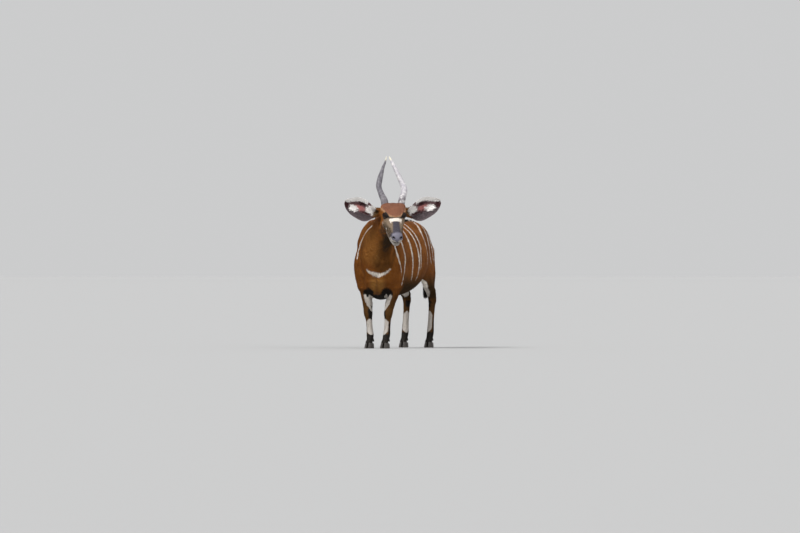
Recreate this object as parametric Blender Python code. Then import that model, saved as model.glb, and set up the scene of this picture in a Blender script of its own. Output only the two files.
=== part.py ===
"""Bongo antelope, life size, standing still with its head turned to its left.

Metres, +Z up. The animal faces -Y and its left side is +X. The flesh is a smooth blend of muscle
and bone strokes, meshed once and parted with thin cuts. Horns, ears, eyes, hooves, tail and the
crest of the back are built from their own sizes and set on that flesh.
"""

import math
import random

import bmesh
import bpy
import numpy as np
import openvdb
from mathutils import Matrix, Vector
from mathutils.bvhtree import BVHTree

# Space kept between touching pieces, and the grids that the flesh is meshed on.
GAP = 0.0003
BODY_VOXEL = 0.011
HEAD_VOXEL = 0.0032
BODY_TRIANGLES = 5400
HEAD_TRIANGLES = 3000

# Stance: where each foot stands, from the middle of the body.
FORE_FOOT_X = 0.083
FORE_FOOT_Y = {1: -0.510, -1: -0.485}
HIND_FOOT_X = 0.122
HIND_FOOT_Y = {1: 0.585, -1: 0.555}

# Head: its place, how far it turns to the left and how steeply the face slopes down.
EYE_MIDDLE = (0.305, -0.880, 1.250)
HEAD_TURN = math.radians(30.0)
FACE_SLOPE = math.radians(50.0)
EYE_FORWARD = 0.115
EYE_SIDE = 0.086
EYE_DROP = -0.041
EYE_RADIUS = 0.0235

# Horns, along a chord that leans back from the crown.
HORN_CHORD = 0.575
HORN_ROOT = 0.000
HORN_SIDES = 12
HORN_BURIED = 0.018
HORN_START_TURN = math.radians(200)
HORN_TWIST = math.radians(230)
KEEL = 0.24
KEEL_SHARP = 0.03
GROOVE = 0.10
GROOVE_SHARP = 0.02
KEEL_GROWN = 0.12

# Ears.
EAR_LENGTH = {1: 0.370, -1: 0.342}
EAR_ROOT = 0.112
EAR_RISE = math.radians(18.0)
EAR_TUBE = 0.00
EAR_OPEN = 0.22
EAR_ACROSS = 10
EAR_ALONG = 14

# Crest of the back and tuft of the tail, lock by lock.
CREST_FROM_Y = -0.405
CREST_TO_Y = 0.630
CREST_LOCKS = 44
CREST_HEIGHT = 0.046
CREST_SUNK = 0.016
LOCK_WIDTH = 0.036
LOCK_THICK = 0.008
TUFT_LOCKS = 24
TUFT_TOP_Z = 0.700
TUFT_BOTTOM_Z = 0.590
TUFT_LENGTH = 0.135

# Cloven hooves.
CLAW_LENGTH = 0.105
CLAW_WIDTH = 0.043
CLAW_CLEFT = 0.0015
CLAW_RAKE = 0.016
CLAW_SIDES = 12
CORONET_Z = 0.052
CORONET_SLOPE = 0.22
PASTERN_REACH = {"fore": 0.032, "hind": 0.020}
DEWCLAW_BACK = {"fore": 0.030, "hind": 0.022}

CHESTNUT = (0.36, 0.12, 0.035, 1.0)
HORN_GREY = (0.42, 0.38, 0.37, 1.0)
EYE_BLACK = (0.012, 0.008, 0.006, 1.0)
HOOF_BLACK = (0.03, 0.025, 0.022, 1.0)
EAR_BROWN = (0.16, 0.075, 0.05, 1.0)


# Strokes of flesh

def smooth_path(stations, steps):
    """Catmull-Rom points through the stations, each row a centre, a half width and a half height."""
    rows = np.array(stations, float)
    before = np.vstack([2 * rows[0] - rows[1], rows, 2 * rows[-1] - rows[-2]])
    path = []
    for i in range(1, len(before) - 2):
        p0, p1, p2, p3 = before[i - 1 : i + 3]
        for k in range(steps):
            t = k / steps
            path.append(
                0.5
                * (
                    2 * p1
                    + (p2 - p0) * t
                    + (2 * p0 - 5 * p1 + 4 * p2 - p3) * t * t
                    + (3 * p1 - p0 - 3 * p2 + p3) * t**3
                )
            )
    path.append(rows[-1])
    return np.array(path)


class Flesh:
    """Strokes that melt into one another. A stroke is a tube of oval sections along a smooth line."""

    def __init__(self):
        self.strokes = []

    def add(self, stations, blend, up=(0, 0, 1), steps=4, carve=False, frame=None):
        path = smooth_path(stations, steps)
        direction = Vector(up)
        if frame is not None:
            path[:, :3] = [frame @ Vector(p) for p in path[:, :3]]
            direction = frame.to_3x3() @ direction
        self.strokes.append((path, blend, np.array(direction.normalized()), carve))

    def both(self, stations, blend, **options):
        """A stroke on the left, x as given, and its mirror image on the right."""
        for side in (1, -1):
            self.add([(side * x, *rest) for x, *rest in stations], blend, **options)

    def values(self, low, voxel, count):
        """The signed distance to the flesh, negative inside, on a grid of points."""
        axes = [low[i] + voxel * np.arange(count[i], dtype=np.float32) for i in range(3)]
        field = np.full(count, 0.5, np.float32)
        for path, blend, up, carve in self.strokes:
            reach = path[:, 3:].max() * 1.25 + blend + 2 * voxel
            box = window(path[:, :3], reach, low, voxel, count)
            if box is None:
                continue
            stroke = stroke_values(path, up, axes, box, blend + 2 * voxel)
            if carve:
                field[box] = -melted(-field[box], stroke, blend)
            else:
                field[box] = melted(field[box], stroke, blend)
        return field


def melted(a, b, blend):
    """The union of two signed distances, rounded over the blend."""
    near = np.maximum(blend - np.abs(a - b), 0) / blend
    return np.minimum(a, b) - near * near * blend / 4


def window(points, reach, low, voxel, count):
    """The slices of the grid within reach of the points, or None where there are none."""
    first = np.floor((points.min(0) - reach - low) / voxel).astype(int)
    last = np.ceil((points.max(0) + reach - low) / voxel).astype(int) + 1
    first = np.clip(first, 0, count)
    last = np.clip(last, 0, count)
    if (last - first).min() < 1:
        return None
    return tuple(slice(a, b) for a, b in zip(first, last))


def stroke_values(path, up, axes, box, margin):
    """Signed distance to one stroke, the least of those to its short lengths, in a box of the grid."""
    shape = [s.stop - s.start for s in box]
    start = [s.start for s in box]
    value = np.full(shape, 0.5, np.float32)
    grid_low = np.array([axes[i][box[i].start] for i in range(3)])
    voxel = float(axes[0][1] - axes[0][0])
    for here, there in zip(path[:-1], path[1:]):
        along = there[:3] - here[:3]
        length = np.linalg.norm(along)
        if length < 1e-7:
            continue
        tangent = along / length
        side = np.cross(tangent, up)
        side /= np.linalg.norm(side)
        rise = np.cross(side, tangent)
        ends = np.array([here[:3], there[:3]])
        reach = max(here[3:].max(), there[3:].max()) * 1.25 + margin
        part = window(ends, reach, grid_low, voxel, shape)
        if part is None:
            continue
        x, y, z = (
            axes[i][start[i] + part[i].start : start[i] + part[i].stop] for i in range(3)
        )
        dx = (x - here[0])[:, None, None]
        dy = (y - here[1])[None, :, None]
        dz = (z - here[2])[None, None, :]
        t = np.clip((dx * tangent[0] + dy * tangent[1] + dz * tangent[2]) / length, 0, 1)
        qx = dx - t * along[0]
        qy = dy - t * along[1]
        qz = dz - t * along[2]
        wide = here[3] + t * (there[3] - here[3])
        tall = here[4] + t * (there[4] - here[4])
        cap = np.minimum(wide, tall)
        across = qx * side[0] + qy * side[1] + qz * side[2]
        above = qx * rise[0] + qy * rise[1] + qz * rise[2]
        beyond = qx * tangent[0] + qy * tangent[1] + qz * tangent[2]
        ratio = np.sqrt((across / wide) ** 2 + (above / tall) ** 2 + (beyond / cap) ** 2)
        slope = np.sqrt(
            (across / wide**2) ** 2 + (above / tall**2) ** 2 + (beyond / cap**2) ** 2
        )
        distance = np.where(ratio > 1e-3, ratio * (ratio - 1) / np.maximum(slope, 1e-6), -cap)
        value[part] = np.minimum(value[part], distance)
    return value


# Mesh helpers

def mesh_object(name, points, faces):
    mesh = bpy.data.meshes.new(name)
    mesh.from_pydata([tuple(p) for p in points], [], [tuple(f) for f in faces])
    mesh.validate()
    obj = bpy.data.objects.new(name, mesh)
    bpy.context.scene.collection.objects.link(obj)
    return facing_out(obj)


def facing_out(obj):
    bm = bmesh.new()
    bm.from_mesh(obj.data)
    bmesh.ops.recalc_face_normals(bm, faces=bm.faces)
    if bm.calc_volume(signed=True) < 0:
        bmesh.ops.reverse_faces(bm, faces=bm.faces)
    bm.to_mesh(obj.data)
    bm.free()
    return obj


def apply_modifiers(obj):
    graph = bpy.context.evaluated_depsgraph_get()
    mesh = bpy.data.meshes.new_from_object(obj.evaluated_get(graph))
    obj.modifiers.clear()
    obj.data = mesh
    return obj


def remove(*objects):
    for obj in objects:
        bpy.data.objects.remove(obj)


def copy_of(obj, name):
    twin = bpy.data.objects.new(name, obj.data.copy())
    bpy.context.scene.collection.objects.link(twin)
    return twin


def largest_surface(obj):
    """Keeps the closed surface of most volume, and drops scraps that a cut leaves."""
    bm = bmesh.new()
    bm.from_mesh(obj.data)
    loose = set(bm.verts)
    groups = []
    while loose:
        queue = [loose.pop()]
        group = set(queue)
        while queue:
            for edge in queue.pop().link_edges:
                for vert in edge.verts:
                    if vert in loose:
                        loose.discard(vert)
                        group.add(vert)
                        queue.append(vert)
        groups.append(group)
    keep = max(groups, key=lambda g: size_of(g))
    bmesh.ops.delete(bm, geom=[v for v in bm.verts if v not in keep], context="VERTS")
    bmesh.ops.triangulate(bm, faces=bm.faces)
    bm.to_mesh(obj.data)
    bm.free()
    return obj


def size_of(verts):
    places = np.array([v.co for v in verts])
    return float(np.prod(places.max(0) - places.min(0) + 1e-6))


def boolean(obj, other, operation, solver="EXACT"):
    modifier = obj.modifiers.new(operation.lower(), "BOOLEAN")
    modifier.operation = operation
    modifier.solver = solver
    modifier.object = other
    apply_modifiers(obj)
    return largest_surface(obj)


def fuse(obj, pieces):
    """Joins closed pieces to obj with one union, and removes them."""
    gathered = bpy.data.collections.new(obj.name + "_pieces")
    bpy.context.scene.collection.children.link(gathered)
    for piece in pieces:
        bpy.context.scene.collection.objects.unlink(piece)
        gathered.objects.link(piece)
    modifier = obj.modifiers.new("union", "BOOLEAN")
    modifier.operation = "UNION"
    modifier.solver = "MANIFOLD"
    modifier.operand_type = "COLLECTION"
    modifier.collection = gathered
    apply_modifiers(obj)
    remove(*pieces)
    bpy.data.collections.remove(gathered)
    return largest_surface(obj)


def grown(obj, amount):
    """A copy of obj, swollen along its normals."""
    twin = copy_of(obj, obj.name + "_grown")
    modifier = twin.modifiers.new("swell", "DISPLACE")
    modifier.mid_level = 0.0
    modifier.strength = amount
    return apply_modifiers(twin)


def trim(obj, host):
    """Cuts obj back to the surface of what it grows from, with the gap of touching pieces."""
    cutter = grown(host, GAP)
    boolean(obj, cutter, "DIFFERENCE")
    remove(cutter)
    return obj


def block(name, low, high, frame=None):
    """A box between two corners, in a frame of its own."""
    bm = bmesh.new()
    bmesh.ops.create_cube(bm, size=1.0)
    for vert in bm.verts:
        vert.co = Vector(low[i] + (vert.co[i] + 0.5) * (high[i] - low[i]) for i in range(3))
    if frame is not None:
        bm.transform(frame)
    mesh = bpy.data.meshes.new(name)
    bm.to_mesh(mesh)
    bm.free()
    obj = bpy.data.objects.new(name, mesh)
    bpy.context.scene.collection.objects.link(obj)
    return obj


def halved(obj, point, normal, name=None):
    """Keeps the side of obj that the normal points to, closed with a flat face."""
    target = copy_of(obj, name) if name else obj
    bm = bmesh.new()
    bm.from_mesh(target.data)
    cut = bmesh.ops.bisect_plane(
        bm,
        geom=bm.verts[:] + bm.edges[:] + bm.faces[:],
        plane_co=point,
        plane_no=normal,
        clear_inner=True,
    )
    rim = [e for e in cut["geom_cut"] if isinstance(e, bmesh.types.BMEdge)]
    bmesh.ops.holes_fill(bm, edges=rim)
    bmesh.ops.triangulate(bm, faces=bm.faces)
    bmesh.ops.recalc_face_normals(bm, faces=bm.faces)
    bm.to_mesh(target.data)
    bm.free()
    return largest_surface(target)


def flesh_mesh(flesh, name, low, high, voxel, triangles):
    """Meshes the flesh inside a box and thins the mesh to a number of triangles."""
    low = np.array(low, float)
    count = np.ceil((np.array(high) - low) / voxel).astype(int)
    values = flesh.values(low, voxel, count)
    for axis in range(3):
        for end in (0, -1):
            face = [slice(None)] * 3
            face[axis] = end
            values[tuple(face)] = voxel
    grid = openvdb.FloatGrid(0.5)
    grid.copyFromArray(values)
    points, quads = grid.convertToQuads(isovalue=0.0)
    obj = mesh_object(name, points * voxel + low, quads)
    largest_surface(obj)
    modifier = obj.modifiers.new("thin", "DECIMATE")
    modifier.ratio = triangles / len(obj.data.polygons)
    modifier.use_collapse_triangulate = True
    return largest_surface(apply_modifiers(obj))


def lofted(name, rings, closed_tip=False):
    """A closed body through rings of points, with flat ends, or a last ring drawn to one point."""
    sides = len(rings[0])
    points = [p for ring in rings for p in ring]
    faces = [
        (i * sides + j, i * sides + (j + 1) % sides, (i + 1) * sides + (j + 1) % sides, (i + 1) * sides + j)
        for i in range(len(rings) - 1)
        for j in range(sides)
    ]
    faces.append(tuple(range(sides))[::-1])
    last = (len(rings) - 1) * sides
    if closed_tip:
        points.append(tuple(np.mean([list(p) for p in rings[-1]], axis=0)))
        faces += [(last + j, last + (j + 1) % sides, len(points) - 1) for j in range(sides)]
    else:
        faces.append(tuple(last + j for j in range(sides)))
    return mesh_object(name, points, faces)


def coloured(obj, colour, roughness, metallic=0.0):
    name = "finish_" + obj.name
    material = bpy.data.materials.new(name)
    material.use_nodes = True
    shader = material.node_tree.nodes["Principled BSDF"]
    shader.inputs["Base Color"].default_value = colour
    shader.inputs["Roughness"].default_value = roughness
    shader.inputs["Metallic"].default_value = metallic
    obj.data.materials.clear()
    obj.data.materials.append(material)
    obj.data.shade_smooth()
    obj.data.set_sharp_from_angle(angle=math.radians(40))
    return obj


# The head's own frame: x to its left, y back along the face, z out of the forehead

def head_frame():
    forward = Vector((math.sin(HEAD_TURN), -math.cos(HEAD_TURN), 0)) * math.cos(FACE_SLOPE)
    forward.z = -math.sin(FACE_SLOPE)
    left = Vector((math.cos(HEAD_TURN), math.sin(HEAD_TURN), 0))
    out = left.cross(-forward)
    origin = Vector(EYE_MIDDLE) - forward * EYE_FORWARD - out * EYE_DROP
    turn = Matrix((left, -forward, out)).transposed().to_4x4()
    return Matrix.Translation(origin) @ turn


# Anatomy. Stations are x, y, z, half width and half height.

def add_trunk(flesh):
    flesh.add(
        [
            (0, -0.590, 0.845, 0.130, 0.225),
            (0, -0.450, 0.828, 0.182, 0.346),
            (0, -0.300, 0.832, 0.208, 0.358),
            (0, -0.100, 0.830, 0.240, 0.342),
            (0, 0.120, 0.845, 0.250, 0.322),
            (0, 0.320, 0.885, 0.202, 0.296),
            (0, 0.480, 0.930, 0.142, 0.252),
            (0, 0.646, 0.955, 0.100, 0.192),
        ],
        0.03,
    )
    # Spine, from the withers over the loin to the root of the tail.
    flesh.add(
        [
            (0, -0.500, 1.085, 0.050, 0.060),
            (0, -0.330, 1.150, 0.052, 0.056),
            (0, -0.120, 1.132, 0.062, 0.052),
            (0, 0.120, 1.128, 0.070, 0.048),
            (0, 0.380, 1.140, 0.078, 0.052),
            (0, 0.600, 1.085, 0.068, 0.060),
        ],
        0.07,
    )
    # Breast: two rounded muscles with a furrow between them, and the keel of the brisket.
    for x in (-0.012, 0.092):
        flesh.add([(x, -0.606, 0.800, 0.074, 0.090), (x, -0.600, 0.640, 0.056, 0.075)], 0.030)
    flesh.add([(0.020, -0.560, 0.600, 0.100, 0.085), (0, -0.420, 0.558, 0.115, 0.083)], 0.06)


def add_shoulder(flesh, side):
    flesh.add(
        [
            (side * 0.090, -0.315, 1.085, 0.056, 0.105),
            (side * 0.132, -0.395, 0.960, 0.066, 0.125),
            (side * 0.162, -0.480, 0.820, 0.068, 0.118),
            (side * 0.166, -0.480, 0.700, 0.064, 0.105),
            (side * 0.156, -0.458, 0.600, 0.058, 0.085),
        ],
        0.07,
        up=(0, 1, 0),
    )
    flesh.add(
        [
            (side * 0.150, -0.330, 0.850, 0.062, 0.120),
            (side * 0.158, -0.365, 0.720, 0.060, 0.108),
            (side * 0.152, -0.400, 0.600, 0.054, 0.080),
        ],
        0.06,
        up=(0, 1, 0),
    )
    if side < 0:
        # The weight is on this side, and its shoulder blade stands out.
        flesh.add(
            [
                (-0.146, -0.430, 1.000, 0.058, 0.085),
                (-0.124, -0.428, 1.090, 0.053, 0.072),
                (-0.088, -0.418, 1.162, 0.036, 0.052),
            ],
            0.08,
            up=(0, 1, 0),
        )


def add_foreleg(flesh, side):
    foot = FORE_FOOT_Y[side]
    x = FORE_FOOT_X
    flesh.add(
        [
            (side * (x + 0.068), -0.430, 0.620, 0.060, 0.080),
            (side * (x + 0.054), foot + 0.048, 0.510, 0.053, 0.064),
            (side * (x + 0.033), foot + 0.024, 0.415, 0.042, 0.047),
        ],
        0.03,
        up=(0, 1, 0),
    )
    flesh.add(
        [
            (side * (x + 0.033), foot + 0.024, 0.415, 0.041, 0.045),
            (side * (x + 0.023), foot + 0.008, 0.335, 0.042, 0.044),
            (side * (x + 0.016), foot + 0.012, 0.272, 0.031, 0.034),
            (side * (x + 0.010), foot + 0.014, 0.195, 0.029, 0.032),
            (side * (x + 0.004), foot + 0.012, 0.125, 0.034, 0.039),
            (side * x, foot - 0.012, 0.078, 0.030, 0.033),
            (side * x, foot - 0.028, 0.050, 0.035, 0.040),
        ],
        0.02,
        up=(0, 1, 0),
    )


def add_hindleg(flesh, side):
    foot = HIND_FOOT_Y[side]
    x = HIND_FOOT_X
    # Croup, thigh and the hamstrings behind it.
    flesh.add(
        [
            (side * 0.064, 0.360, 1.060, 0.070, 0.100),
            (side * 0.072, 0.500, 0.990, 0.072, 0.130),
            (side * 0.062, 0.640, 0.900, 0.068, 0.105),
        ],
        0.06,
    )
    flesh.add(
        [
            (side * 0.076, 0.556, 0.950, 0.054, 0.148),
            (side * 0.098, 0.526, 0.830, 0.055, 0.166),
            (side * 0.118, 0.510, 0.720, 0.053, 0.148),
            (side * 0.124, foot - 0.055, 0.630, 0.044, 0.096),
            (side * (x + 0.006), foot + 0.030, 0.530, 0.035, 0.052),
        ],
        0.05,
        up=(0, 1, 0),
    )
    flesh.add(
        [
            (side * 0.072, 0.680, 0.900, 0.052, 0.075),
            (side * 0.092, 0.676, 0.780, 0.046, 0.072),
            (side * 0.118, foot + 0.070, 0.680, 0.036, 0.058),
            (side * 0.121, foot + 0.080, 0.590, 0.022, 0.045),
            (side * x, foot + 0.108, 0.520, 0.017, 0.021),
        ],
        0.05,
        up=(0, 1, 0),
    )
    # Hock, cannon and fetlock.
    flesh.add(
        [
            (side * (x + 0.006), foot + 0.030, 0.535, 0.036, 0.047),
            (side * (x + 0.002), foot + 0.078, 0.462, 0.036, 0.050),
            (side * x, foot + 0.072, 0.385, 0.030, 0.038),
            (side * x, foot + 0.052, 0.270, 0.028, 0.033),
            (side * x, foot + 0.030, 0.140, 0.033, 0.039),
            (side * x, foot + 0.002, 0.085, 0.030, 0.033),
            (side * x, foot - 0.016, 0.052, 0.035, 0.040),
        ],
        0.022,
        up=(0, 1, 0),
    )
    point = [(side * x, foot + 0.112, 0.510, 0.017, 0.019), (side * x, foot + 0.098, 0.450, 0.020, 0.022)]
    flesh.add(point, 0.03)


def add_neck(flesh):
    flesh.add(
        [
            (-0.010, -0.410, 0.930, 0.156, 0.265),
            (0.034, -0.555, 0.990, 0.134, 0.225),
            (0.110, -0.655, 1.085, 0.104, 0.178),
            (0.180, -0.712, 1.175, 0.092, 0.146),
            (0.232, -0.748, 1.248, 0.083, 0.122),
            (0.258, -0.780, 1.262, 0.076, 0.080),
        ],
        0.07,
    )


def add_head(flesh, frame):
    """The skull, jaw, cheeks, brows, lids, muzzle and lips, y being minus the way forward."""
    flesh.add(
        [
            (0, -0.012, -0.104, 0.078, 0.070),
            (0, -0.055, -0.083, 0.096, 0.084),
            (0, -0.115, -0.074, 0.092, 0.077),
            (0, -0.185, -0.078, 0.081, 0.067),
            (0, -0.265, -0.081, 0.066, 0.056),
            (0, -0.320, -0.084, 0.055, 0.051),
            (0, -0.346, -0.087, 0.053, 0.047),
        ],
        0.03,
        frame=frame,
    )
    flesh.add(
        [
            (0, 0.000, -0.190, 0.072, 0.052),
            (0, -0.090, -0.188, 0.078, 0.052),
            (0, -0.190, -0.174, 0.073, 0.044),
            (0, -0.290, -0.156, 0.058, 0.036),
            (0, -0.340, -0.150, 0.048, 0.029),
        ],
        0.035,
        frame=frame,
    )
    cheek = [(0.070, -0.020, -0.140, 0.028, 0.066), (0.068, -0.120, -0.142, 0.026, 0.052)]
    lip_side = [
        (0, -0.070, -0.132, 0.086, 0.056),
        (0, -0.140, -0.130, 0.081, 0.050),
        (0, -0.215, -0.128, 0.073, 0.045),
        (0, -0.300, -0.122, 0.059, 0.037),
    ]
    flesh.both(cheek, 0.04, frame=frame)
    flesh.add(lip_side, 0.03, frame=frame)
    add_brow(flesh, frame)
    add_muzzle(flesh, frame)
    add_eye_rims(flesh, frame)


def add_brow(flesh, frame):
    """Forehead, seat of each horn, rim of each orbit and root of each ear."""
    brow = [(0.062, -0.075, -0.024, 0.030, 0.022), (0.076, -0.125, -0.032, 0.022, 0.019)]
    under = [(0.072, -0.160, -0.084, 0.018, 0.016), (0.078, -0.080, -0.086, 0.024, 0.022)]
    seat = [(0.052, -0.034, -0.048, 0.036, 0.034), (0.074, -0.008, -0.046, 0.038, 0.037)]
    crest = [(0.080, -0.022, -0.058, 0.028, 0.028), (0.088, -0.074, -0.048, 0.023, 0.021)]
    ear = [(0.066, -0.002, -0.128, 0.040, 0.052), (0.094, 0.006, -0.134, 0.030, 0.040)]
    flesh.both(brow, 0.02, frame=frame)
    flesh.both(under, 0.025, frame=frame)
    flesh.add([(0, -0.012, -0.036, 0.070, 0.024), (0, -0.068, -0.012, 0.070, 0.022)], 0.03, frame=frame)
    flesh.both(seat, 0.03, frame=frame)
    flesh.both(crest, 0.03, frame=frame)
    flesh.both(ear, 0.04, frame=frame)


def add_muzzle(flesh, frame):
    """Nose pad, wings of the nostrils and lips, then the line of the mouth and the nostrils."""
    pad = [(0, -0.345, -0.058, 0.030, 0.026), (0, -0.372, -0.074, 0.030, 0.026)]
    wing = [(0.031, -0.345, -0.062, 0.019, 0.018), (0.036, -0.368, -0.076, 0.018, 0.018)]
    upper_lip = [(0.024, -0.366, -0.098, 0.024, 0.018), (0.042, -0.320, -0.106, 0.015, 0.020)]
    lower_lip = [(0, -0.320, -0.160, 0.040, 0.021), (0, -0.372, -0.153, 0.033, 0.020)]
    flesh.add(pad, 0.02, frame=frame)
    flesh.both(wing, 0.014, frame=frame)
    flesh.both(upper_lip, 0.016, frame=frame)
    flesh.add(lower_lip, 0.014, frame=frame)
    lips = mouth_line(1) + mouth_line(-1)[::-1][1:]
    nostril = [(0.027, -0.394, -0.052, 0.0075, 0.0090), (0.037, -0.370, -0.063, 0.0065, 0.0105)]
    furrow = [(0, -0.404, -0.076, 0.0025, 0.004), (0, -0.398, -0.106, 0.0025, 0.004)]
    flesh.add(lips, 0.004, steps=3, carve=True, frame=frame)
    flesh.both(nostril, 0.006, carve=True, frame=frame)
    flesh.add(furrow, 0.006, carve=True, frame=frame)


def mouth_line(side):
    """Where the lips meet, from the corner of the mouth to the middle of the muzzle."""
    return [
        (side * 0.064, -0.215, -0.139, 0.0070, 0.0030),
        (side * 0.057, -0.270, -0.136, 0.0110, 0.0042),
        (side * 0.050, -0.325, -0.131, 0.0120, 0.0044),
        (side * 0.034, -0.372, -0.127, 0.0120, 0.0044),
        (0.0, -0.388, -0.125, 0.0120, 0.0044),
    ]


def eye_centre(side):
    return Vector((side * EYE_SIDE, -EYE_FORWARD, EYE_DROP))


def eye_gaze(side):
    return Vector((side * 0.70, -0.44, 0.56)).normalized()


def add_eye_rims(flesh, frame):
    """The orbit and slit of each eye, with a heavy upper lid and a thin lower one round it."""
    for side in (1, -1):
        centre = eye_centre(side)
        gaze = eye_gaze(side)
        socket = centre - gaze * 0.012
        flesh.add([(*socket, 0.036, 0.032), (*(centre - gaze * 0.004), 0.029, 0.025)], 0.02, frame=frame)
        near = centre + gaze * 0.012
        far = centre + gaze * 0.060
        flesh.add([(*near, 0.0205, 0.0145), (*far, 0.0260, 0.0190)], 0.006, carve=True, frame=frame)
        along = Vector((side * -0.36, -0.90, -0.18))
        along = (along - gaze * along.dot(gaze)).normalized()
        over = gaze.cross(along) * side
        for turn, thick in ((1, 0.0058), (-1, 0.0042)):
            rim = []
            for k in range(7):
                angle = math.pi * k / 6
                flat = along * (0.0230 * math.cos(angle)) + over * (turn * 0.0170 * math.sin(angle))
                place = centre + flat + gaze * (0.0105 + 0.0055 * math.sin(angle))
                rim.append((*place, thick, thick))
            flesh.add(rim, 0.006, steps=2, up=gaze, frame=frame)


def whole_animal(frame):
    flesh = Flesh()
    add_trunk(flesh)
    for side in (1, -1):
        add_shoulder(flesh, side)
        add_foreleg(flesh, side)
        add_hindleg(flesh, side)
    add_neck(flesh)
    add_head(flesh, frame)
    return flesh


# Parting the flesh

def wedge(name, low, high, point, normal, grow=0.0):
    """A box between two corners whose top is a sloping plane, all of it swollen by grow."""
    box = block(name, [v - grow for v in low], [v + grow for v in high])
    slope = Vector(normal).normalized()
    return halved(box, Vector(point) + slope * grow, -slope)


def take_out(body, name, make_cutter):
    """Parts what the cutter holds from the body, with the gap of touching pieces all round it."""
    inner = make_cutter(0.0)
    outer = make_cutter(GAP)
    piece = copy_of(body, name)
    boolean(piece, inner, "INTERSECT")
    boolean(body, outer, "DIFFERENCE")
    remove(inner, outer)
    return piece


def head_box(frame, grow):
    """The room of the head: ahead of the nape and above the line of the throat."""
    low = [-0.30 - grow, -0.60 - grow, -0.252 - grow]
    high = [0.30 + grow, 0.092 + grow, 0.20 + grow]
    return block("head_box", low, high, frame)


def foreleg_box(side, grow):
    ends = sorted((side * 0.020, side * 0.420))
    slope = (-side * 0.766, 0.0, 0.643)
    low = (ends[0], -0.640, -0.100)
    high = (ends[1], -0.300, 0.900)
    return wedge("leg_box", low, high, (side * 0.060, 0, 0.452), slope, grow)


def hindleg_box(side, grow):
    ends = sorted((side * 0.030, side * 0.420))
    slope = (-side * 0.45, -0.42, 0.79)
    low = (ends[0], 0.370, -0.100)
    high = (ends[1], 1.000, 1.200)
    return wedge("leg_box", low, high, (side * 0.130, 0.500, 0.730), slope, grow)


def part_flesh(frame):
    """The torso, neck, head and four legs, as separate closed bodies."""
    flesh = whole_animal(frame)
    low = (-0.34, -1.02, -0.02)
    high = (0.46, 0.86, 1.42)
    torso = flesh_mesh(flesh, "torso", low, high, BODY_VOXEL, BODY_TRIANGLES)
    centre = frame @ Vector((0, -0.16, -0.08))
    reach = Vector((0.26, 0.28, 0.31))
    head = flesh_mesh(flesh, "head", centre - reach, centre + reach, HEAD_VOXEL, HEAD_TRIANGLES)
    room = head_box(frame, 0.0)
    boolean(head, room, "INTERSECT")
    remove(room)
    collar = Vector((0, -0.585, 1.030))
    forward = Vector((0.08, -0.783, 0.622)).normalized()
    neck = halved(torso, collar + forward * GAP, forward, "neck")
    halved(torso, collar, -forward)
    room = head_box(frame, GAP)
    boolean(neck, room, "DIFFERENCE")
    remove(room)
    legs = []
    for side, word in ((1, "left"), (-1, "right")):
        legs.append(take_out(torso, "foreleg_" + word, lambda grow: foreleg_box(side, grow)))
        legs.append(take_out(torso, "hindleg_" + word, lambda grow: hindleg_box(side, grow)))
    return torso, neck, head, legs


# Hooves

def coronet_height(y, toe_y):
    """Height of the hairline of the hoof, which drops from the toe to the heel."""
    return CORONET_Z + CORONET_SLOPE * (toe_y - y)


def claw(name, foot_x, foot_y, out):
    """Half of a cloven hoof, from its flat sole to the hairline."""
    rings = []
    for level, scale in ((0.0, 0.95), (0.10, 1.0), (0.55, 0.93), (1.0, 0.84)):
        ring = []
        for k in range(CLAW_SIDES):
            angle = 2 * math.pi * k / CLAW_SIDES
            forward = math.cos(angle)
            taper = 1 - 0.42 * max(0.0, forward) ** 2
            across = CLAW_WIDTH * 0.5 * (1 + math.sin(angle)) * taper
            x = foot_x + out * (CLAW_CLEFT + across * scale)
            y = foot_y - CLAW_LENGTH * 0.5 * scale * forward + CLAW_RAKE * level
            ring.append((x, y, level * coronet_height(y, foot_y)))
        rings.append(ring)
    return coloured(lofted(name, rings), HOOF_BLACK, 0.45)


def dewclaw(name, leg, foot_x, foot_y, out):
    """The small horn behind the fetlock, rooted in the leg."""
    root = Vector((foot_x + out * 0.012, foot_y + 0.018, 0.100))
    tip = Vector((foot_x + out * 0.024, foot_y + 0.056, 0.062))
    rings = []
    for t, radius in ((0.0, 0.0125), (0.45, 0.0125), (0.80, 0.0090), (0.97, 0.0040)):
        middle = root.lerp(tip, t)
        ring = []
        for k in range(6):
            angle = math.pi * k / 3
            ring.append(middle + Vector((radius * math.cos(angle), 0, radius * math.sin(angle))))
        rings.append(ring)
    obj = lofted(name, rings)
    trim(obj, leg)
    return coloured(obj, HOOF_BLACK, 0.5)


def shod(leg, foot_x, foot_y):
    """Cuts the leg off at the hairline and sets two claws and two dewclaws on it."""
    word = leg.name
    hairline = Vector((0, foot_y, CORONET_Z + GAP))
    up = Vector((0, CORONET_SLOPE, 1)).normalized()
    halved(leg, hairline, up)
    for out, which in ((1, "left"), (-1, "right")):
        claw("hoof_" + word + "_" + which, foot_x, foot_y, out)
        dewclaw("dewclaw_" + word + "_" + which, leg, foot_x, foot_y + DEWCLAW_BACK[word[:4]], out)


# Horns, ears, eyes and tail

def between(stations, t):
    """Straight reading of a table whose first column runs from 0 to 1."""
    table = np.array(stations, float)
    return [float(np.interp(t, table[:, 0], table[:, c])) for c in range(1, table.shape[1])]


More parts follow.
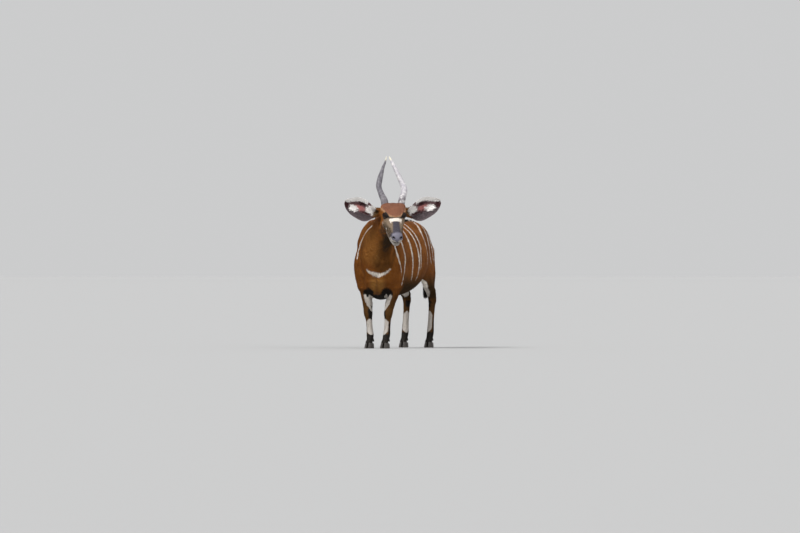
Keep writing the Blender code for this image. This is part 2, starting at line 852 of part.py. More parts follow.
HORN_LINES = {
    # share of the chord, out to the side, out of the forehead, width
    1: [
        (-0.03, 0.0720, -0.034, 0.0220),
        (-0.01, 0.0731, -0.029, 0.0320),
        (0.044, 0.0795, -0.018, 0.0340),
        (0.123, 0.0913, -0.013, 0.0340),
        (0.217, 0.1087, -0.019, 0.0325),
        (0.308, 0.1233, -0.022, 0.0305),
        (0.394, 0.1261, -0.022, 0.0290),
        (0.473, 0.1166, -0.017, 0.0270),
        (0.546, 0.1016, -0.009, 0.0248),
        (0.620, 0.0875, -0.001, 0.0222),
        (0.773, 0.0569, 0.012, 0.0170),
        (0.854, 0.0430, 0.015, 0.0137),
        (0.939, 0.0298, 0.016, 0.0088),
        (1.000, 0.0215, 0.015, 0.0034),
    ],
    -1: [
        (-0.03, 0.0750, -0.034, 0.0220),
        (-0.01, 0.0765, -0.029, 0.0325),
        (0.044, 0.0778, -0.018, 0.0345),
        (0.123, 0.0818, -0.013, 0.0330),
        (0.217, 0.0942, -0.019, 0.0295),
        (0.353, 0.1072, -0.024, 0.0262),
        (0.434, 0.1085, -0.021, 0.0260),
        (0.500, 0.0993, -0.014, 0.0262),
        (0.583, 0.0850, -0.005, 0.0235),
        (0.675, 0.0676, 0.005, 0.0180),
        (0.773, 0.0486, 0.012, 0.0132),
        (0.875, 0.0242, 0.015, 0.0092),
        (1.000, 0.0035, 0.015, 0.0034),
    ],
}


def horn(side, word, head, frame):
    """A horn with one open twist and a keel that winds round it, growing back from the crown."""
    knots = np.array(HORN_LINES[side])
    line = smooth_path(knots, 2)
    rings = []
    for share, x, z, width in line:
        turn = HORN_START_TURN + share * HORN_TWIST
        if side < 0:
            turn = math.pi - turn
        grown_out = min(1.0, max(0.0, share / KEEL_GROWN))
        middle = Vector((side * x, HORN_ROOT + share * HORN_CHORD, z - HORN_BURIED))
        ring = []
        for k in range(HORN_SIDES):
            angle = 2 * math.pi * k / HORN_SIDES
            keel = KEEL * math.exp(-((math.cos(angle - turn) - 1) ** 2) / KEEL_SHARP)
            beside = math.cos(angle - turn - 1.1 * side) - 1
            groove = GROOVE * math.exp(-(beside**2) / GROOVE_SHARP)
            radius = width * (1 + grown_out * (keel - groove))
            ring.append(frame @ (middle + Vector((radius * math.cos(angle), 0, radius * math.sin(angle)))))
        rings.append(ring)
    obj = lofted("horn_" + word, rings, closed_tip=True)
    trim(obj, head)
    return coloured(obj, HORN_GREY, 0.42)


EAR_RIMS = [
    # share of the length, upper rim, lower rim, depth of the cup
    (0.00, 0.024, -0.050, 0.034),
    (0.08, 0.019, -0.074, 0.042),
    (0.16, 0.018, -0.101, 0.050),
    (0.26, 0.026, -0.128, 0.056),
    (0.36, 0.042, -0.141, 0.058),
    (0.46, 0.056, -0.140, 0.056),
    (0.56, 0.061, -0.134, 0.052),
    (0.67, 0.057, -0.125, 0.045),
    (0.78, 0.043, -0.111, 0.036),
    (0.88, 0.024, -0.088, 0.026),
    (0.95, 0.009, -0.062, 0.018),
    (1.00, -0.006, -0.034, 0.011),
]


def ear_axes(side, frame):
    """Along the ear, across it toward its upper rim, and out of its back."""
    left = frame.to_3x3() @ Vector((1, 0, 0))
    back = Vector((-math.sin(HEAD_TURN), math.cos(HEAD_TURN), 0))
    along = left * side * math.cos(EAR_RISE) + Vector((0, 0, math.sin(EAR_RISE))) + back * 0.10
    along.normalize()
    above = (Vector((0, 0, 1)) - along * along.z).normalized()
    behind = along.cross(above)
    return along, above, behind if behind.dot(back) > 0 else -behind


def ear_section(share, v):
    """Height and depth in the section of the ear, which is rolled into a tube at its root."""
    upper, lower, depth = between(EAR_RIMS, share)
    rolled = 1 - min(1.0, max(0.0, (share - EAR_TUBE) / (EAR_OPEN - EAR_TUBE)))
    rolled = rolled * rolled * (3 - 2 * rolled)
    angle = v * math.radians(160)
    half = (upper - lower) / 2
    height = (upper + lower) / 2 + half * (rolled * math.sin(angle) + (1 - rolled) * v)
    open_depth = depth * (1 - v * v) - 0.012
    return height, rolled * 0.9 * half * math.cos(angle) + (1 - rolled) * open_depth


def ear(side, word, head, frame):
    """A broad leaf, cupped and open to the front, its stalk rooted in the side of the head."""
    along, above, behind = ear_axes(side, frame)
    root = frame @ Vector((side * EAR_ROOT, 0.012, -0.128))
    rings = []
    for i in range(EAR_ALONG + 1):
        share = i / EAR_ALONG
        middle = root + along * (share * EAR_LENGTH[side])
        line = [ear_section(share, -1 + 2 * j / EAR_ACROSS) for j in range(EAR_ACROSS + 1)]
        inner = []
        outer = []
        for j, (height, depth) in enumerate(line):
            before = line[max(j - 1, 0)]
            after = line[min(j + 1, EAR_ACROSS)]
            slope = Vector((after[0] - before[0], after[1] - before[1])).normalized()
            v = -1 + 2 * j / EAR_ACROSS
            thick = 0.0030 + 0.0050 * (1 - v * v)
            place = middle + above * height + behind * depth
            inner.append(place)
            outer.append(place + (above * -slope.y + behind * slope.x) * thick)
        rings.append(inner + outer[::-1])
    obj = lofted("ear_" + word, rings)
    trim(obj, head)
    return coloured(obj, EAR_BROWN, 0.85)


def ball(name, centre, radius):
    bm = bmesh.new()
    bmesh.ops.create_uvsphere(bm, u_segments=14, v_segments=9, radius=radius)
    bm.transform(Matrix.Translation(centre))
    mesh = bpy.data.meshes.new(name)
    bm.to_mesh(mesh)
    bm.free()
    obj = bpy.data.objects.new(name, mesh)
    bpy.context.scene.collection.objects.link(obj)
    return obj


def eye(side, word, head, frame):
    """An eyeball in a socket cut for it, a gap wider all round."""
    place = frame @ eye_centre(side)
    socket = ball("socket", place, EYE_RADIUS + 1.5 * GAP)
    boolean(head, socket, "DIFFERENCE")
    remove(socket)
    return coloured(ball("eye_" + word, place, EYE_RADIUS), EYE_BLACK, 0.08)


TAIL_LINE = [
    (0, 0.700, 1.060, 0.034, 0.030),
    (0, 0.770, 1.045, 0.028, 0.026),
    (0, 0.822, 0.960, 0.019, 0.018),
    (0, 0.832, 0.840, 0.014, 0.014),
    (0, 0.828, 0.740, 0.013, 0.013),
    (0, 0.824, 0.660, 0.019, 0.017),
    (0, 0.822, 0.590, 0.020, 0.017),
    (0, 0.824, 0.520, 0.005, 0.004),
]


def tail(torso):
    path = smooth_path(TAIL_LINE, 3)
    rings = []
    for i, (x, y, z, wide, thick) in enumerate(path):
        ahead = path[min(i + 1, len(path) - 1)][:3] - path[max(i - 1, 0)][:3]
        ahead = Vector(ahead).normalized()
        level = Vector((1, 0, 0))
        other = ahead.cross(level).normalized()
        ring = []
        for k in range(8):
            angle = math.pi * k / 4
            ring.append(
                Vector((x, y, z)) + level * (wide * math.cos(angle)) + other * (thick * math.sin(angle))
            )
        rings.append(ring)
    obj = lofted("tail", rings)
    trim(obj, torso)
    return coloured(obj, CHESTNUT, 0.8)


def lock(name, root, along, flat, length, width, thick, bend):
    """A flat tapered lock of hair that bends toward its point."""
    across = along.cross(flat).normalized()
    rings = []
    for share, scale, sag in ((0.0, 0.70, 0.0), (0.38, 1.0, 0.12), (0.74, 0.66, 0.48)):
        middle = root + along * (share * length) + bend * sag
        side = across * (width * 0.5 * scale)
        face = flat * (thick * 0.5 * scale)
        rings.append([middle + side, middle + face, middle - side, middle - face])
    tip = root + along * length + bend
    rings.append([tip.lerp(p, 0.12) for p in rings[-1]])
    return lofted(name, rings, closed_tip=True)


def crest(torso, chance):
    """The short mane of the back, leaning a little to the rear."""
    points = [v.co for v in torso.data.vertices]
    skin = BVHTree.FromPolygons(points, [p.vertices for p in torso.data.polygons])
    locks = []
    for i in range(CREST_LOCKS):
        share = i / (CREST_LOCKS - 1)
        y = CREST_FROM_Y + share * (CREST_TO_Y - CREST_FROM_Y)
        x = 0.005 * (1 if i % 2 else -1) + chance.uniform(-0.002, 0.002)
        hit = skin.ray_cast(Vector((x, y, 2)), Vector((0, 0, -1)))[0]
        height = CREST_HEIGHT * (0.55 + 0.45 * math.sin(math.pi * min(1, share * 1.15) ** 0.6))
        height *= chance.uniform(0.88, 1.10)
        along = Vector((x * 6, 0.42 + 0.25 * share + chance.uniform(-0.08, 0.08), 1)).normalized()
        flat = Vector((1, chance.uniform(-0.25, 0.25), 0)).normalized()
        bend = Vector((x * 0.8, 0.012 + chance.uniform(-0.004, 0.006), -0.003))
        root = hit - along * CREST_SUNK
        reach = height + CREST_SUNK
        locks.append(lock("lock", root, along, flat, reach, LOCK_WIDTH, LOCK_THICK, bend))
    return fuse(torso, locks)


def tuft(tail_piece, chance):
    """Long hair round the end of the tail, hanging in overlapping locks."""
    path = smooth_path(TAIL_LINE, 3)
    locks = []
    for i in range(TUFT_LOCKS):
        share = i / (TUFT_LOCKS - 1)
        z = TUFT_TOP_Z + share * (TUFT_BOTTOM_Z - TUFT_TOP_Z)
        x, y, wide, thick = (float(np.interp(-z, -path[:, 2], path[:, c])) for c in (0, 1, 3, 4))
        angle = i * math.radians(137.5)
        out = Vector((math.cos(angle), math.sin(angle), 0))
        root = Vector((x, y, z)) + Vector((out.x * wide, out.y * thick, 0)) * 0.45
        along = (Vector((0, 0, -1)) + out * chance.uniform(0.10, 0.20)).normalized()
        flat = (out - along * out.dot(along)).normalized()
        length = TUFT_LENGTH * chance.uniform(0.85, 1.10)
        bend = -out * chance.uniform(0.004, 0.014)
        locks.append(lock("lock", root, along, flat, length, 0.024, 0.008, bend))
    return fuse(tail_piece, locks)


def centre_on_floor():
    """Moves all pieces so that the middle of their box is over the origin, soles on the floor."""
    pieces = list(bpy.context.scene.objects)
    corners = np.array([v.co for obj in pieces for v in obj.data.vertices])
    middle = (corners.min(0) + corners.max(0)) / 2
    for obj in pieces:
        obj.data.transform(Matrix.Translation((-middle[0], -middle[1], 0)))


def main():
    for obj in list(bpy.data.objects):
        bpy.data.objects.remove(obj)
    frame = head_frame()
    torso, neck, head, legs = part_flesh(frame)
    for leg in legs:
        side = 1 if leg.name.endswith("left") else -1
        fore = leg.name.startswith("fore")
        foot_x = side * (FORE_FOOT_X if fore else HIND_FOOT_X)
        foot_y = FORE_FOOT_Y[side] if fore else HIND_FOOT_Y[side]
        shod(leg, foot_x, foot_y - PASTERN_REACH["fore" if fore else "hind"])
    for side, word in ((1, "left"), (-1, "right")):
        horn(side, word, head, frame)
        ear(side, word, head, frame)
    for side, word in ((1, "left"), (-1, "right")):
        eye(side, word, head, frame)
    chance = random.Random(11)
    tuft(tail(torso), chance)
    crest(torso, chance)
    for obj in [torso, neck, head, *legs]:
        coloured(obj, CHESTNUT, 0.8)
    centre_on_floor()


main()
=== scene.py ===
# Looks of a standing bongo antelope. One skin stands for the solids of flesh, and carries a short
# coat of solid tufts. Horns, ears, eyes, hooves, crest and tail are pieces of their own.
import math

import bmesh
import bpy
import numpy as np
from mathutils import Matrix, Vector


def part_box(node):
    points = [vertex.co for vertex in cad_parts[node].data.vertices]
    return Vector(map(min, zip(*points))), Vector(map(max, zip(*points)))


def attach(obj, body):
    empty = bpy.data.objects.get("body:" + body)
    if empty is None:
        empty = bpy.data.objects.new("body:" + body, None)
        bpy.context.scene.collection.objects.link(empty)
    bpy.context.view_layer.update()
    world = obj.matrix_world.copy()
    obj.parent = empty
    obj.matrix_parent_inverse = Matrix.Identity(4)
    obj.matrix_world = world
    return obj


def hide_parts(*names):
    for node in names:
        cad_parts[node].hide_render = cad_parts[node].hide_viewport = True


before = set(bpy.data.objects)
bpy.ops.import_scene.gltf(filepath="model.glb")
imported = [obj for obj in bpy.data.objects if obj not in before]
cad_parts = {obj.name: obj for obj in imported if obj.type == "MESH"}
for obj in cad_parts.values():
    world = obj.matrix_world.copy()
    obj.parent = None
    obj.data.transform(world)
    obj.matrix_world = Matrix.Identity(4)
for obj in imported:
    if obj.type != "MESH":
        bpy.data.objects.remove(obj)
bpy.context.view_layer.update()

import openvdb
from mathutils import Matrix, Vector
from mathutils.bvhtree import BVHTree

scene = bpy.context.scene
chance = np.random.default_rng(7)

# Grids of the skin, and how thick the coat lies on it.
BODY_VOXEL = 0.006
HEAD_VOXEL = 0.002
COARSE = 3
SKIN_TRIANGLES = 96000
BODY_COAT = 0.004
LEG_COAT = 0.0022
FACE_COAT = 0.0012
OUTSIDE = 0.5

# Stance: where each foot stands, from the middle of the body.
FORE_FOOT_X = 0.083
FORE_FOOT_Y = {1: -0.51, -1: -0.485}
HIND_FOOT_X = 0.122
HIND_FOOT_Y = {1: 0.585, -1: 0.555}

# Head: its place, how far it turns to the left and how steeply the face slopes down.
EYE_MIDDLE = (0.305, -0.88, 1.25)
HEAD_TURN = math.radians(30.0)
FACE_SLOPE = math.radians(50.0)
EYE_FORWARD = 0.115
EYE_SIDE = 0.086
EYE_DROP = -0.041
EYE_RADIUS = 0.0235
HORN_CHORD = 0.575
EAR_LENGTH = {1: 0.37, -1: 0.342}
EAR_ROOT = (0.112, 0.012, -0.128)
EAR_RISE = math.radians(18.0)
EAR_OPEN = 0.22
CLAW_LENGTH = 0.105
CLAW_WIDTH = 0.043
CLAW_CLEFT = 0.0015
CLAW_RAKE = 0.016
CORONET_Z = 0.052
CORONET_SLOPE = 0.22
PASTERN_REACH = {"fore": 0.032, "hind": 0.02}
DEWCLAW_BACK = {"fore": 0.03, "hind": 0.022}

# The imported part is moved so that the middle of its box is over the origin. The middle of the two
# claws of the left forefoot tells by how much.
CLAWS_MIDDLE = (0.083, -0.537)
claw_boxes = [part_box("hoof_foreleg_left_" + which) for which in ("left", "right")]
claw_low = np.min([np.array(b[0]) for b in claw_boxes], axis=0)
claw_high = np.max([np.array(b[1]) for b in claw_boxes], axis=0)
SHIFT = Vector((*((claw_low + claw_high)[:2] / 2 - CLAWS_MIDDLE), 0))

# Camera, floor and light. The camera of the photo stands far off and level.
VIEW_TURN = math.radians(20.0)
CAMERA_FAR = 84.0
CAMERA_HEIGHT = 0.77
CAMERA_ASIDE = 0.0369
FLOOR_GREY = (0.392, 0.392, 0.392, 1)
SKY_COLOUR = (0.97, 0.975, 0.98, 1)
SKY_STRENGTH = 0.62
LAMPS = [
    # name, where it shines from, strength and how wide it is in degrees
    ("key", (-0.42, -0.9, 1.0), 2.65, 16.0),
    ("fill", (0.8, -0.55, 0.75), 1.25, 60.0),
    ("rim", (0.1, 0.9, 0.8), 0.45, 50.0),
]


def linked(name, data):
    obj = bpy.data.objects.new(name, data)
    scene.collection.objects.link(obj)
    return obj


def mesh_of(bm, name):
    mesh = bpy.data.meshes.new(name)
    bm.to_mesh(mesh)
    bm.free()
    return mesh


def set_stage():
    back = Vector((math.sin(VIEW_TURN), -math.cos(VIEW_TURN), 0))
    right = Vector((math.cos(VIEW_TURN), math.sin(VIEW_TURN), 0))
    up = Vector((0, 0, 1))
    place = SHIFT + right * CAMERA_ASIDE + back * CAMERA_FAR + up * CAMERA_HEIGHT
    camera = linked("camera", bpy.data.cameras.new("camera"))
    camera.data.lens = 400
    camera.data.sensor_width = 36
    camera.data.clip_end = 2000
    camera.matrix_world = Matrix.Translation(place) @ Matrix((right, up, back)).transposed().to_4x4()
    scene.camera = camera

    bm = bmesh.new()
    bmesh.ops.create_circle(bm, cap_ends=True, segments=96, radius=600.0)
    floor = linked("floor", mesh_of(bm, "floor"))
    material = bpy.data.materials.new("floor")
    material.use_nodes = True
    shader = material.node_tree.nodes["Principled BSDF"]
    shader.inputs["Base Color"].default_value = FLOOR_GREY
    shader.inputs["Roughness"].default_value = 0.9
    shader.inputs["Specular IOR Level"].default_value = 0.1
    floor.data.materials.append(material)

    world = bpy.data.worlds.new("studio")
    world.use_nodes = True
    sky = world.node_tree.nodes["Background"]
    sky.inputs["Color"].default_value = SKY_COLOUR
    sky.inputs["Strength"].default_value = SKY_STRENGTH
    scene.world = world
    scene.view_settings.view_transform = "Standard"
    for name, aim, energy, spread in LAMPS:
        lamp = linked(name, bpy.data.lights.new(name, "SUN"))
        lamp.data.energy = energy
        lamp.data.angle = math.radians(spread)
        lamp.rotation_mode = "QUATERNION"
        lamp.rotation_quaternion = Vector(aim).to_track_quat("Z", "Y")


# Strokes of flesh

def smooth_path(stations, steps):
    """Catmull-Rom points through the stations, each row a centre, a half width and a half height."""
    rows = np.array(stations, float)
    before = np.vstack([2 * rows[0] - rows[1], rows, 2 * rows[-1] - rows[-2]])
    path = []
    for i in range(1, len(before) - 2):
        p0, p1, p2, p3 = before[i - 1 : i + 3]
        bend = 2 * p0 - 5 * p1 + 4 * p2 - p3
        twist = 3 * p1 - p0 - 3 * p2 + p3
        for k in range(steps):
            t = k / steps
            path.append(0.5 * (2 * p1 + (p2 - p0) * t + bend * t * t + twist * t**3))
    path.append(rows[-1])
    return np.array(path)


class Flesh:
    """Strokes that melt into one another. A stroke is a tube of oval sections along a smooth line."""

    def __init__(self):
        self.strokes = []
        self.axes = None

    def add(self, stations, blend, up=(0, 0, 1), steps=4, carve=False):
        """One stroke, in the animal's axes or in self.axes, added to the flesh or carved from it."""
        path = smooth_path(stations, steps)
        direction = Vector(up)
        if self.axes is not None:
            path[:, :3] = [self.axes @ Vector(p) for p in path[:, :3]]
            direction = self.axes.to_3x3() @ direction
        self.strokes.append((path, blend, np.array(direction.normalized()), carve))

    def add_all(self, strokes, **options):
        """Strokes as blend and rows. One that starts to the left of the middle gets a mirror image."""
        for blend, rows in strokes:
            for side in (1, -1) if rows[0][0] > 0 else (1,):
                self.add([(side * x, *rest) for x, *rest in rows], blend, **options)

    def at(self, points, margin):
        """The signed distance to the flesh at each point, negative inside."""
        points = np.asfortranarray(points, dtype=np.float32)
        value = np.full(len(points), OUTSIDE, np.float32)
        for path, blend, up, carve in self.strokes:
            reach = path[:, 3:].max() * 1.25 + blend + margin
            near = inside_box(points, path[:, :3].min(0) - reach, path[:, :3].max(0) + reach)
            if len(near) == 0:
                continue
            stroke = stroke_at(path, up, np.asfortranarray(points[near]), blend + margin)
            if carve:
                value[near] = -melted(-value[near], stroke, blend)
            else:
                value[near] = melted(value[near], stroke, blend)
        return value


def melted(a, b, blend):
    """The union of two signed distances, rounded over the blend."""
    near = np.maximum(blend - np.abs(a - b), 0) / blend
    return np.minimum(a, b) - near * near * blend / 4


def inside_box(points, low, high):
    """Which points lie in a box, found one axis at a time."""
    keep = np.flatnonzero((points[:, 0] > low[0]) & (points[:, 0] < high[0]))
    for axis in (1, 2):
        column = points[keep, axis]
        keep = keep[(column > low[axis]) & (column < high[axis])]
    return keep


def stroke_at(path, up, points, margin):
    """Signed distance to one stroke, the least of those to its short lengths."""
    value = np.full(len(points), OUTSIDE, np.float32)
    for here, there in zip(path[:-1], path[1:]):
        along = (there[:3] - here[:3]).astype(np.float32)
        length = np.linalg.norm(along)
        if length < 1e-7:
            continue
        tangent = along / length
        side = np.cross(tangent, up)
        side /= np.linalg.norm(side)
        rise = np.cross(side, tangent)
        reach = max(here[3:].max(), there[3:].max()) * 1.25 + margin
        low = np.minimum(here[:3], there[:3]) - reach
        high = np.maximum(here[:3], there[:3]) + reach
        part = inside_box(points, low, high)
        if len(part) == 0:
            continue
        off = points[part] - here[:3].astype(np.float32)
        t = np.clip(off @ tangent / length, 0, 1)
        off = off - t[:, None] * along
        wide = here[3] + t * (there[3] - here[3])
        tall = here[4] + t * (there[4] - here[4])
        cap = np.minimum(wide, tall)
        across = off @ side
        above = off @ rise
        beyond = off @ tangent
        ratio = np.sqrt((across / wide) ** 2 + (above / tall) ** 2 + (beyond / cap) ** 2)
        slope = np.sqrt((across / wide**2) ** 2 + (above / tall**2) ** 2 + (beyond / cap**2) ** 2)
        distance = np.where(ratio > 1e-3, ratio * (ratio - 1) / np.maximum(slope, 1e-6), -cap)
        value[part] = np.minimum(value[part], distance)
    return value


def grid_points(low, voxel, count):
    axes = [low[i] + voxel * np.arange(count[i]) for i in range(3)]
    return np.stack(np.meshgrid(*axes, indexing="ij"), -1).reshape(-1, 3)


def finer(values, times, axis):
    """Straight interpolation that puts times - 1 new values between each two along an axis."""
    old = np.moveaxis(values, axis, 0)
    steps = np.arange(times, dtype=np.float32) / times
    new = old[:-1, None] * (1 - steps[None, :, None, None]) + old[1:, None] * steps[None, :, None, None]
    new = new.reshape(-1, *old.shape[1:])
    return np.moveaxis(np.concatenate([new, old[-1:]]), 0, axis)


def coat_depth(points, head):
    """How far the skin lies under the tips of the coat: least on the face and the feet."""
    local = to_axes(points, head)
    face = soft(local[:, 1], 0.1, -0.02) * soft(-local[:, 2], 0.3, 0.24)
    leg = soft(points[:, 2], 0.62, 0.4)
    depth = BODY_COAT + (LEG_COAT - BODY_COAT) * leg
    return depth + (FACE_COAT - depth) * face


def surface_mesh(flesh, name, low, high, voxel, head, band=1.8):
    """Meshes the flesh in a box: a coarse grid first, then a fine one near the surface alone."""
    low = np.array(low, float)
    coarse_voxel = voxel * COARSE
    count = np.ceil((np.array(high) - low) / coarse_voxel).astype(int) + 1
    fine = flesh.at(grid_points(low, coarse_voxel, count), 2 * coarse_voxel).reshape(count)
    for axis in range(3):
        fine = finer(fine, COARSE, axis)
    near = np.abs(fine) < band * coarse_voxel
    points = low + np.argwhere(near) * voxel
    fine[near] = flesh.at(points, 2 * coarse_voxel) + coat_depth(points, head)
    for axis in range(3):
        for end in (0, -1):
            face = [slice(None)] * 3
            face[axis] = end
            fine[tuple(face)] = voxel
    grid = openvdb.FloatGrid(OUTSIDE)
    grid.copyFromArray(np.ascontiguousarray(fine, np.float32))
    points, quads = grid.convertToQuads(isovalue=0.0)
    obj = mesh_object(name, points * voxel + low, quads)
    largest_surface(obj)
    modifier = obj.modifiers.new("thin", "DECIMATE")
    modifier.ratio = SKIN_TRIANGLES / len(obj.data.polygons)
    modifier.use_collapse_triangulate = True
    mesh = bpy.data.meshes.new_from_object(obj.evaluated_get(bpy.context.evaluated_depsgraph_get()))
    obj.modifiers.clear()
    obj.data = mesh
    return obj


# Small helpers

def soft(value, start, end):
    """0 at the start and 1 at the end, with a smooth step between them."""
    t = np.clip((value - start) / (end - start), 0, 1)
    return t * t * (3 - 2 * t)


def to_axes(points, axes):
    """Points in other axes, such as the head's."""
    inverse = np.array(axes.inverted())
    return np.asarray(points) @ inverse[:3, :3].T + inverse[:3, 3]


def read(mesh, what):
    """The place or the normal of each vertex."""
    flat = np.empty(len(mesh.vertices) * 3, np.float32)
    mesh.vertices.foreach_get(what, flat)
    return flat.reshape(-1, 3).astype(float)


def store(mesh, **values):
    """Numbers for each vertex, which the materials read."""
    for name, numbers in values.items():
        layer = mesh.attributes.new(name, "FLOAT", "POINT")
        layer.data.foreach_set("value", np.ascontiguousarray(numbers, np.float32))


def mesh_object(name, points, faces):
    """A mesh whose faces look outward."""
    mesh = bpy.data.meshes.new(name)
    mesh.from_pydata([tuple(p) for p in points], [], [tuple(f) for f in faces])
    mesh.validate()
    obj = linked(name, mesh)
    bm = bmesh.new()
    bm.from_mesh(mesh)
    bmesh.ops.recalc_face_normals(bm, faces=bm.faces)
    if bm.calc_volume(signed=True) < 0:
        bmesh.ops.reverse_faces(bm, faces=bm.faces)
    bm.to_mesh(mesh)
    bm.free()
    return obj


def largest_surface(obj):
    """Keeps the joined surface with the most vertices, and drops scraps that a cut leaves."""
    bm = bmesh.new()
    bm.from_mesh(obj.data)
    loose = set(bm.verts)
    groups = []
    while loose:
        queue = [loose.pop()]
        group = set(queue)
        while queue:
            for edge in queue.pop().link_edges:
                for vert in edge.verts:
                    if vert in loose:
                        loose.discard(vert)
                        group.add(vert)
                        queue.append(vert)
        groups.append(group)
    keep = max(groups, key=len)
    bmesh.ops.delete(bm, geom=[v for v in bm.verts if v not in keep], context="VERTS")
    bmesh.ops.triangulate(bm, faces=bm.faces)
    bm.to_mesh(obj.data)
    bm.free()


def head_axes():
    """The head's own axes: x to its left, y back along the face, z out of the forehead."""
    forward = Vector((math.sin(HEAD_TURN), -math.cos(HEAD_TURN), 0)) * math.cos(FACE_SLOPE)
    forward.z = -math.sin(FACE_SLOPE)
    left = Vector((math.cos(HEAD_TURN), math.sin(HEAD_TURN), 0))
    out = left.cross(-forward)
    origin = Vector(EYE_MIDDLE) - forward * EYE_FORWARD - out * EYE_DROP
    return Matrix.Translation(origin) @ Matrix((left, -forward, out)).transposed().to_4x4()


# Anatomy. Rows are x, y, z, half width and half height; in the tables of legs and shoulders, x is out
# from the middle. A stroke is its blend and its rows.

ALONG_BODY = (0, 1, 0)
TRUNK_STROKES = [
    # The trunk, then the spine from the withers over the loin to the root of the tail.
    (0.03, [
        (0, -0.59, 0.845, 0.13, 0.225), (0, -0.45, 0.828, 0.182, 0.346), (0, -0.3, 0.832, 0.208, 0.358),
        (0, -0.1, 0.83, 0.24, 0.342), (0, 0.12, 0.845, 0.25, 0.322), (0, 0.32, 0.885, 0.202, 0.296),
        (0, 0.48, 0.93, 0.142, 0.252), (0, 0.646, 0.955, 0.1, 0.192),
    ]),
    (0.07, [
        (0, -0.5, 1.085, 0.05, 0.06), (0, -0.33, 1.15, 0.052, 0.056), (0, -0.12, 1.132, 0.062, 0.052),
        (0, 0.12, 1.128, 0.07, 0.048), (0, 0.38, 1.14, 0.078, 0.052), (0, 0.6, 1.085, 0.068, 0.06),
    ]),
]
# Breast: two rounded muscles with a furrow between them, and the keel of the brisket.
BREAST_STROKES = [
    (0.03, [(-0.012, -0.606, 0.8, 0.074, 0.09), (-0.012, -0.6, 0.64, 0.056, 0.075)]),
    (0.03, [(0.092, -0.606, 0.8, 0.074, 0.09), (0.092, -0.6, 0.64, 0.056, 0.075)]),
    (0.06, [(0.02, -0.56, 0.6, 0.1, 0.085), (0, -0.42, 0.558, 0.115, 0.083)]),
]
SHOULDER_STROKES = [
    (0.07, [
        (0.09, -0.315, 1.085, 0.056, 0.105), (0.132, -0.395, 0.96, 0.066, 0.125),
        (0.162, -0.48, 0.82, 0.068, 0.118), (0.166, -0.48, 0.7, 0.064, 0.105),
        (0.156, -0.458, 0.6, 0.058, 0.085),
    ]),
    (0.06, [
        (0.15, -0.33, 0.85, 0.062, 0.12), (0.158, -0.365, 0.72, 0.06, 0.108),
        (0.152, -0.4, 0.6, 0.054, 0.08),
    ]),
]
# The weight is on the right side, and its shoulder blade stands out.
RIGHT_BLADE = [
    (-0.146, -0.43, 1.0, 0.058, 0.085), (-0.124, -0.428, 1.09, 0.053, 0.072),
    (-0.088, -0.418, 1.162, 0.036, 0.052),
]
# Below, x and y of a leg's rows are out and back from its foot.
UPPER_FOREARM = (-0.43, 0.62, 0.06, 0.08)
FOREARM = [(0.054, 0.048, 0.51, 0.053, 0.064), (0.033, 0.024, 0.415, 0.042, 0.047)]
FORE_SHIN = [
    (0.033, 0.024, 0.415, 0.041, 0.045), (0.023, 0.008, 0.335, 0.042, 0.044),
    (0.016, 0.012, 0.272, 0.031, 0.034), (0.01, 0.014, 0.195, 0.029, 0.032),
    (0.004, 0.012, 0.125, 0.034, 0.039), (0, -0.012, 0.078, 0.03, 0.033), (0, -0.028, 0.05, 0.035, 0.04),
]
CROUP = [
    (0.064, 0.36, 1.06, 0.07, 0.1), (0.072, 0.5, 0.99, 0.072, 0.13), (0.062, 0.64, 0.9, 0.068, 0.105),
]
THIGH = [
    (0.076, 0.556, 0.95, 0.054, 0.148), (0.098, 0.526, 0.83, 0.055, 0.166),
    (0.118, 0.51, 0.72, 0.053, 0.148),
]
HAMSTRING = [(0.072, 0.68, 0.9, 0.052, 0.075), (0.092, 0.676, 0.78, 0.046, 0.072)]
HIND_SHIN = [
    (0.006, 0.03, 0.535, 0.036, 0.047), (0.002, 0.078, 0.462, 0.036, 0.05), (0, 0.072, 0.385, 0.03, 0.038),
    (0, 0.052, 0.27, 0.028, 0.033), (0, 0.03, 0.14, 0.033, 0.039), (0, 0.002, 0.085, 0.03, 0.033),
    (0, -0.016, 0.052, 0.035, 0.04),
]
HOCK_POINT = [(0, 0.112, 0.51, 0.017, 0.019), (0, 0.098, 0.45, 0.02, 0.022)]
NECK = [
    (-0.01, -0.41, 0.93, 0.156, 0.265), (0.034, -0.555, 0.99, 0.134, 0.225),
    (0.11, -0.655, 1.085, 0.104, 0.178), (0.18, -0.712, 1.175, 0.092, 0.146),
    (0.232, -0.748, 1.248, 0.083, 0.122), (0.258, -0.78, 1.262, 0.076, 0.08),
]
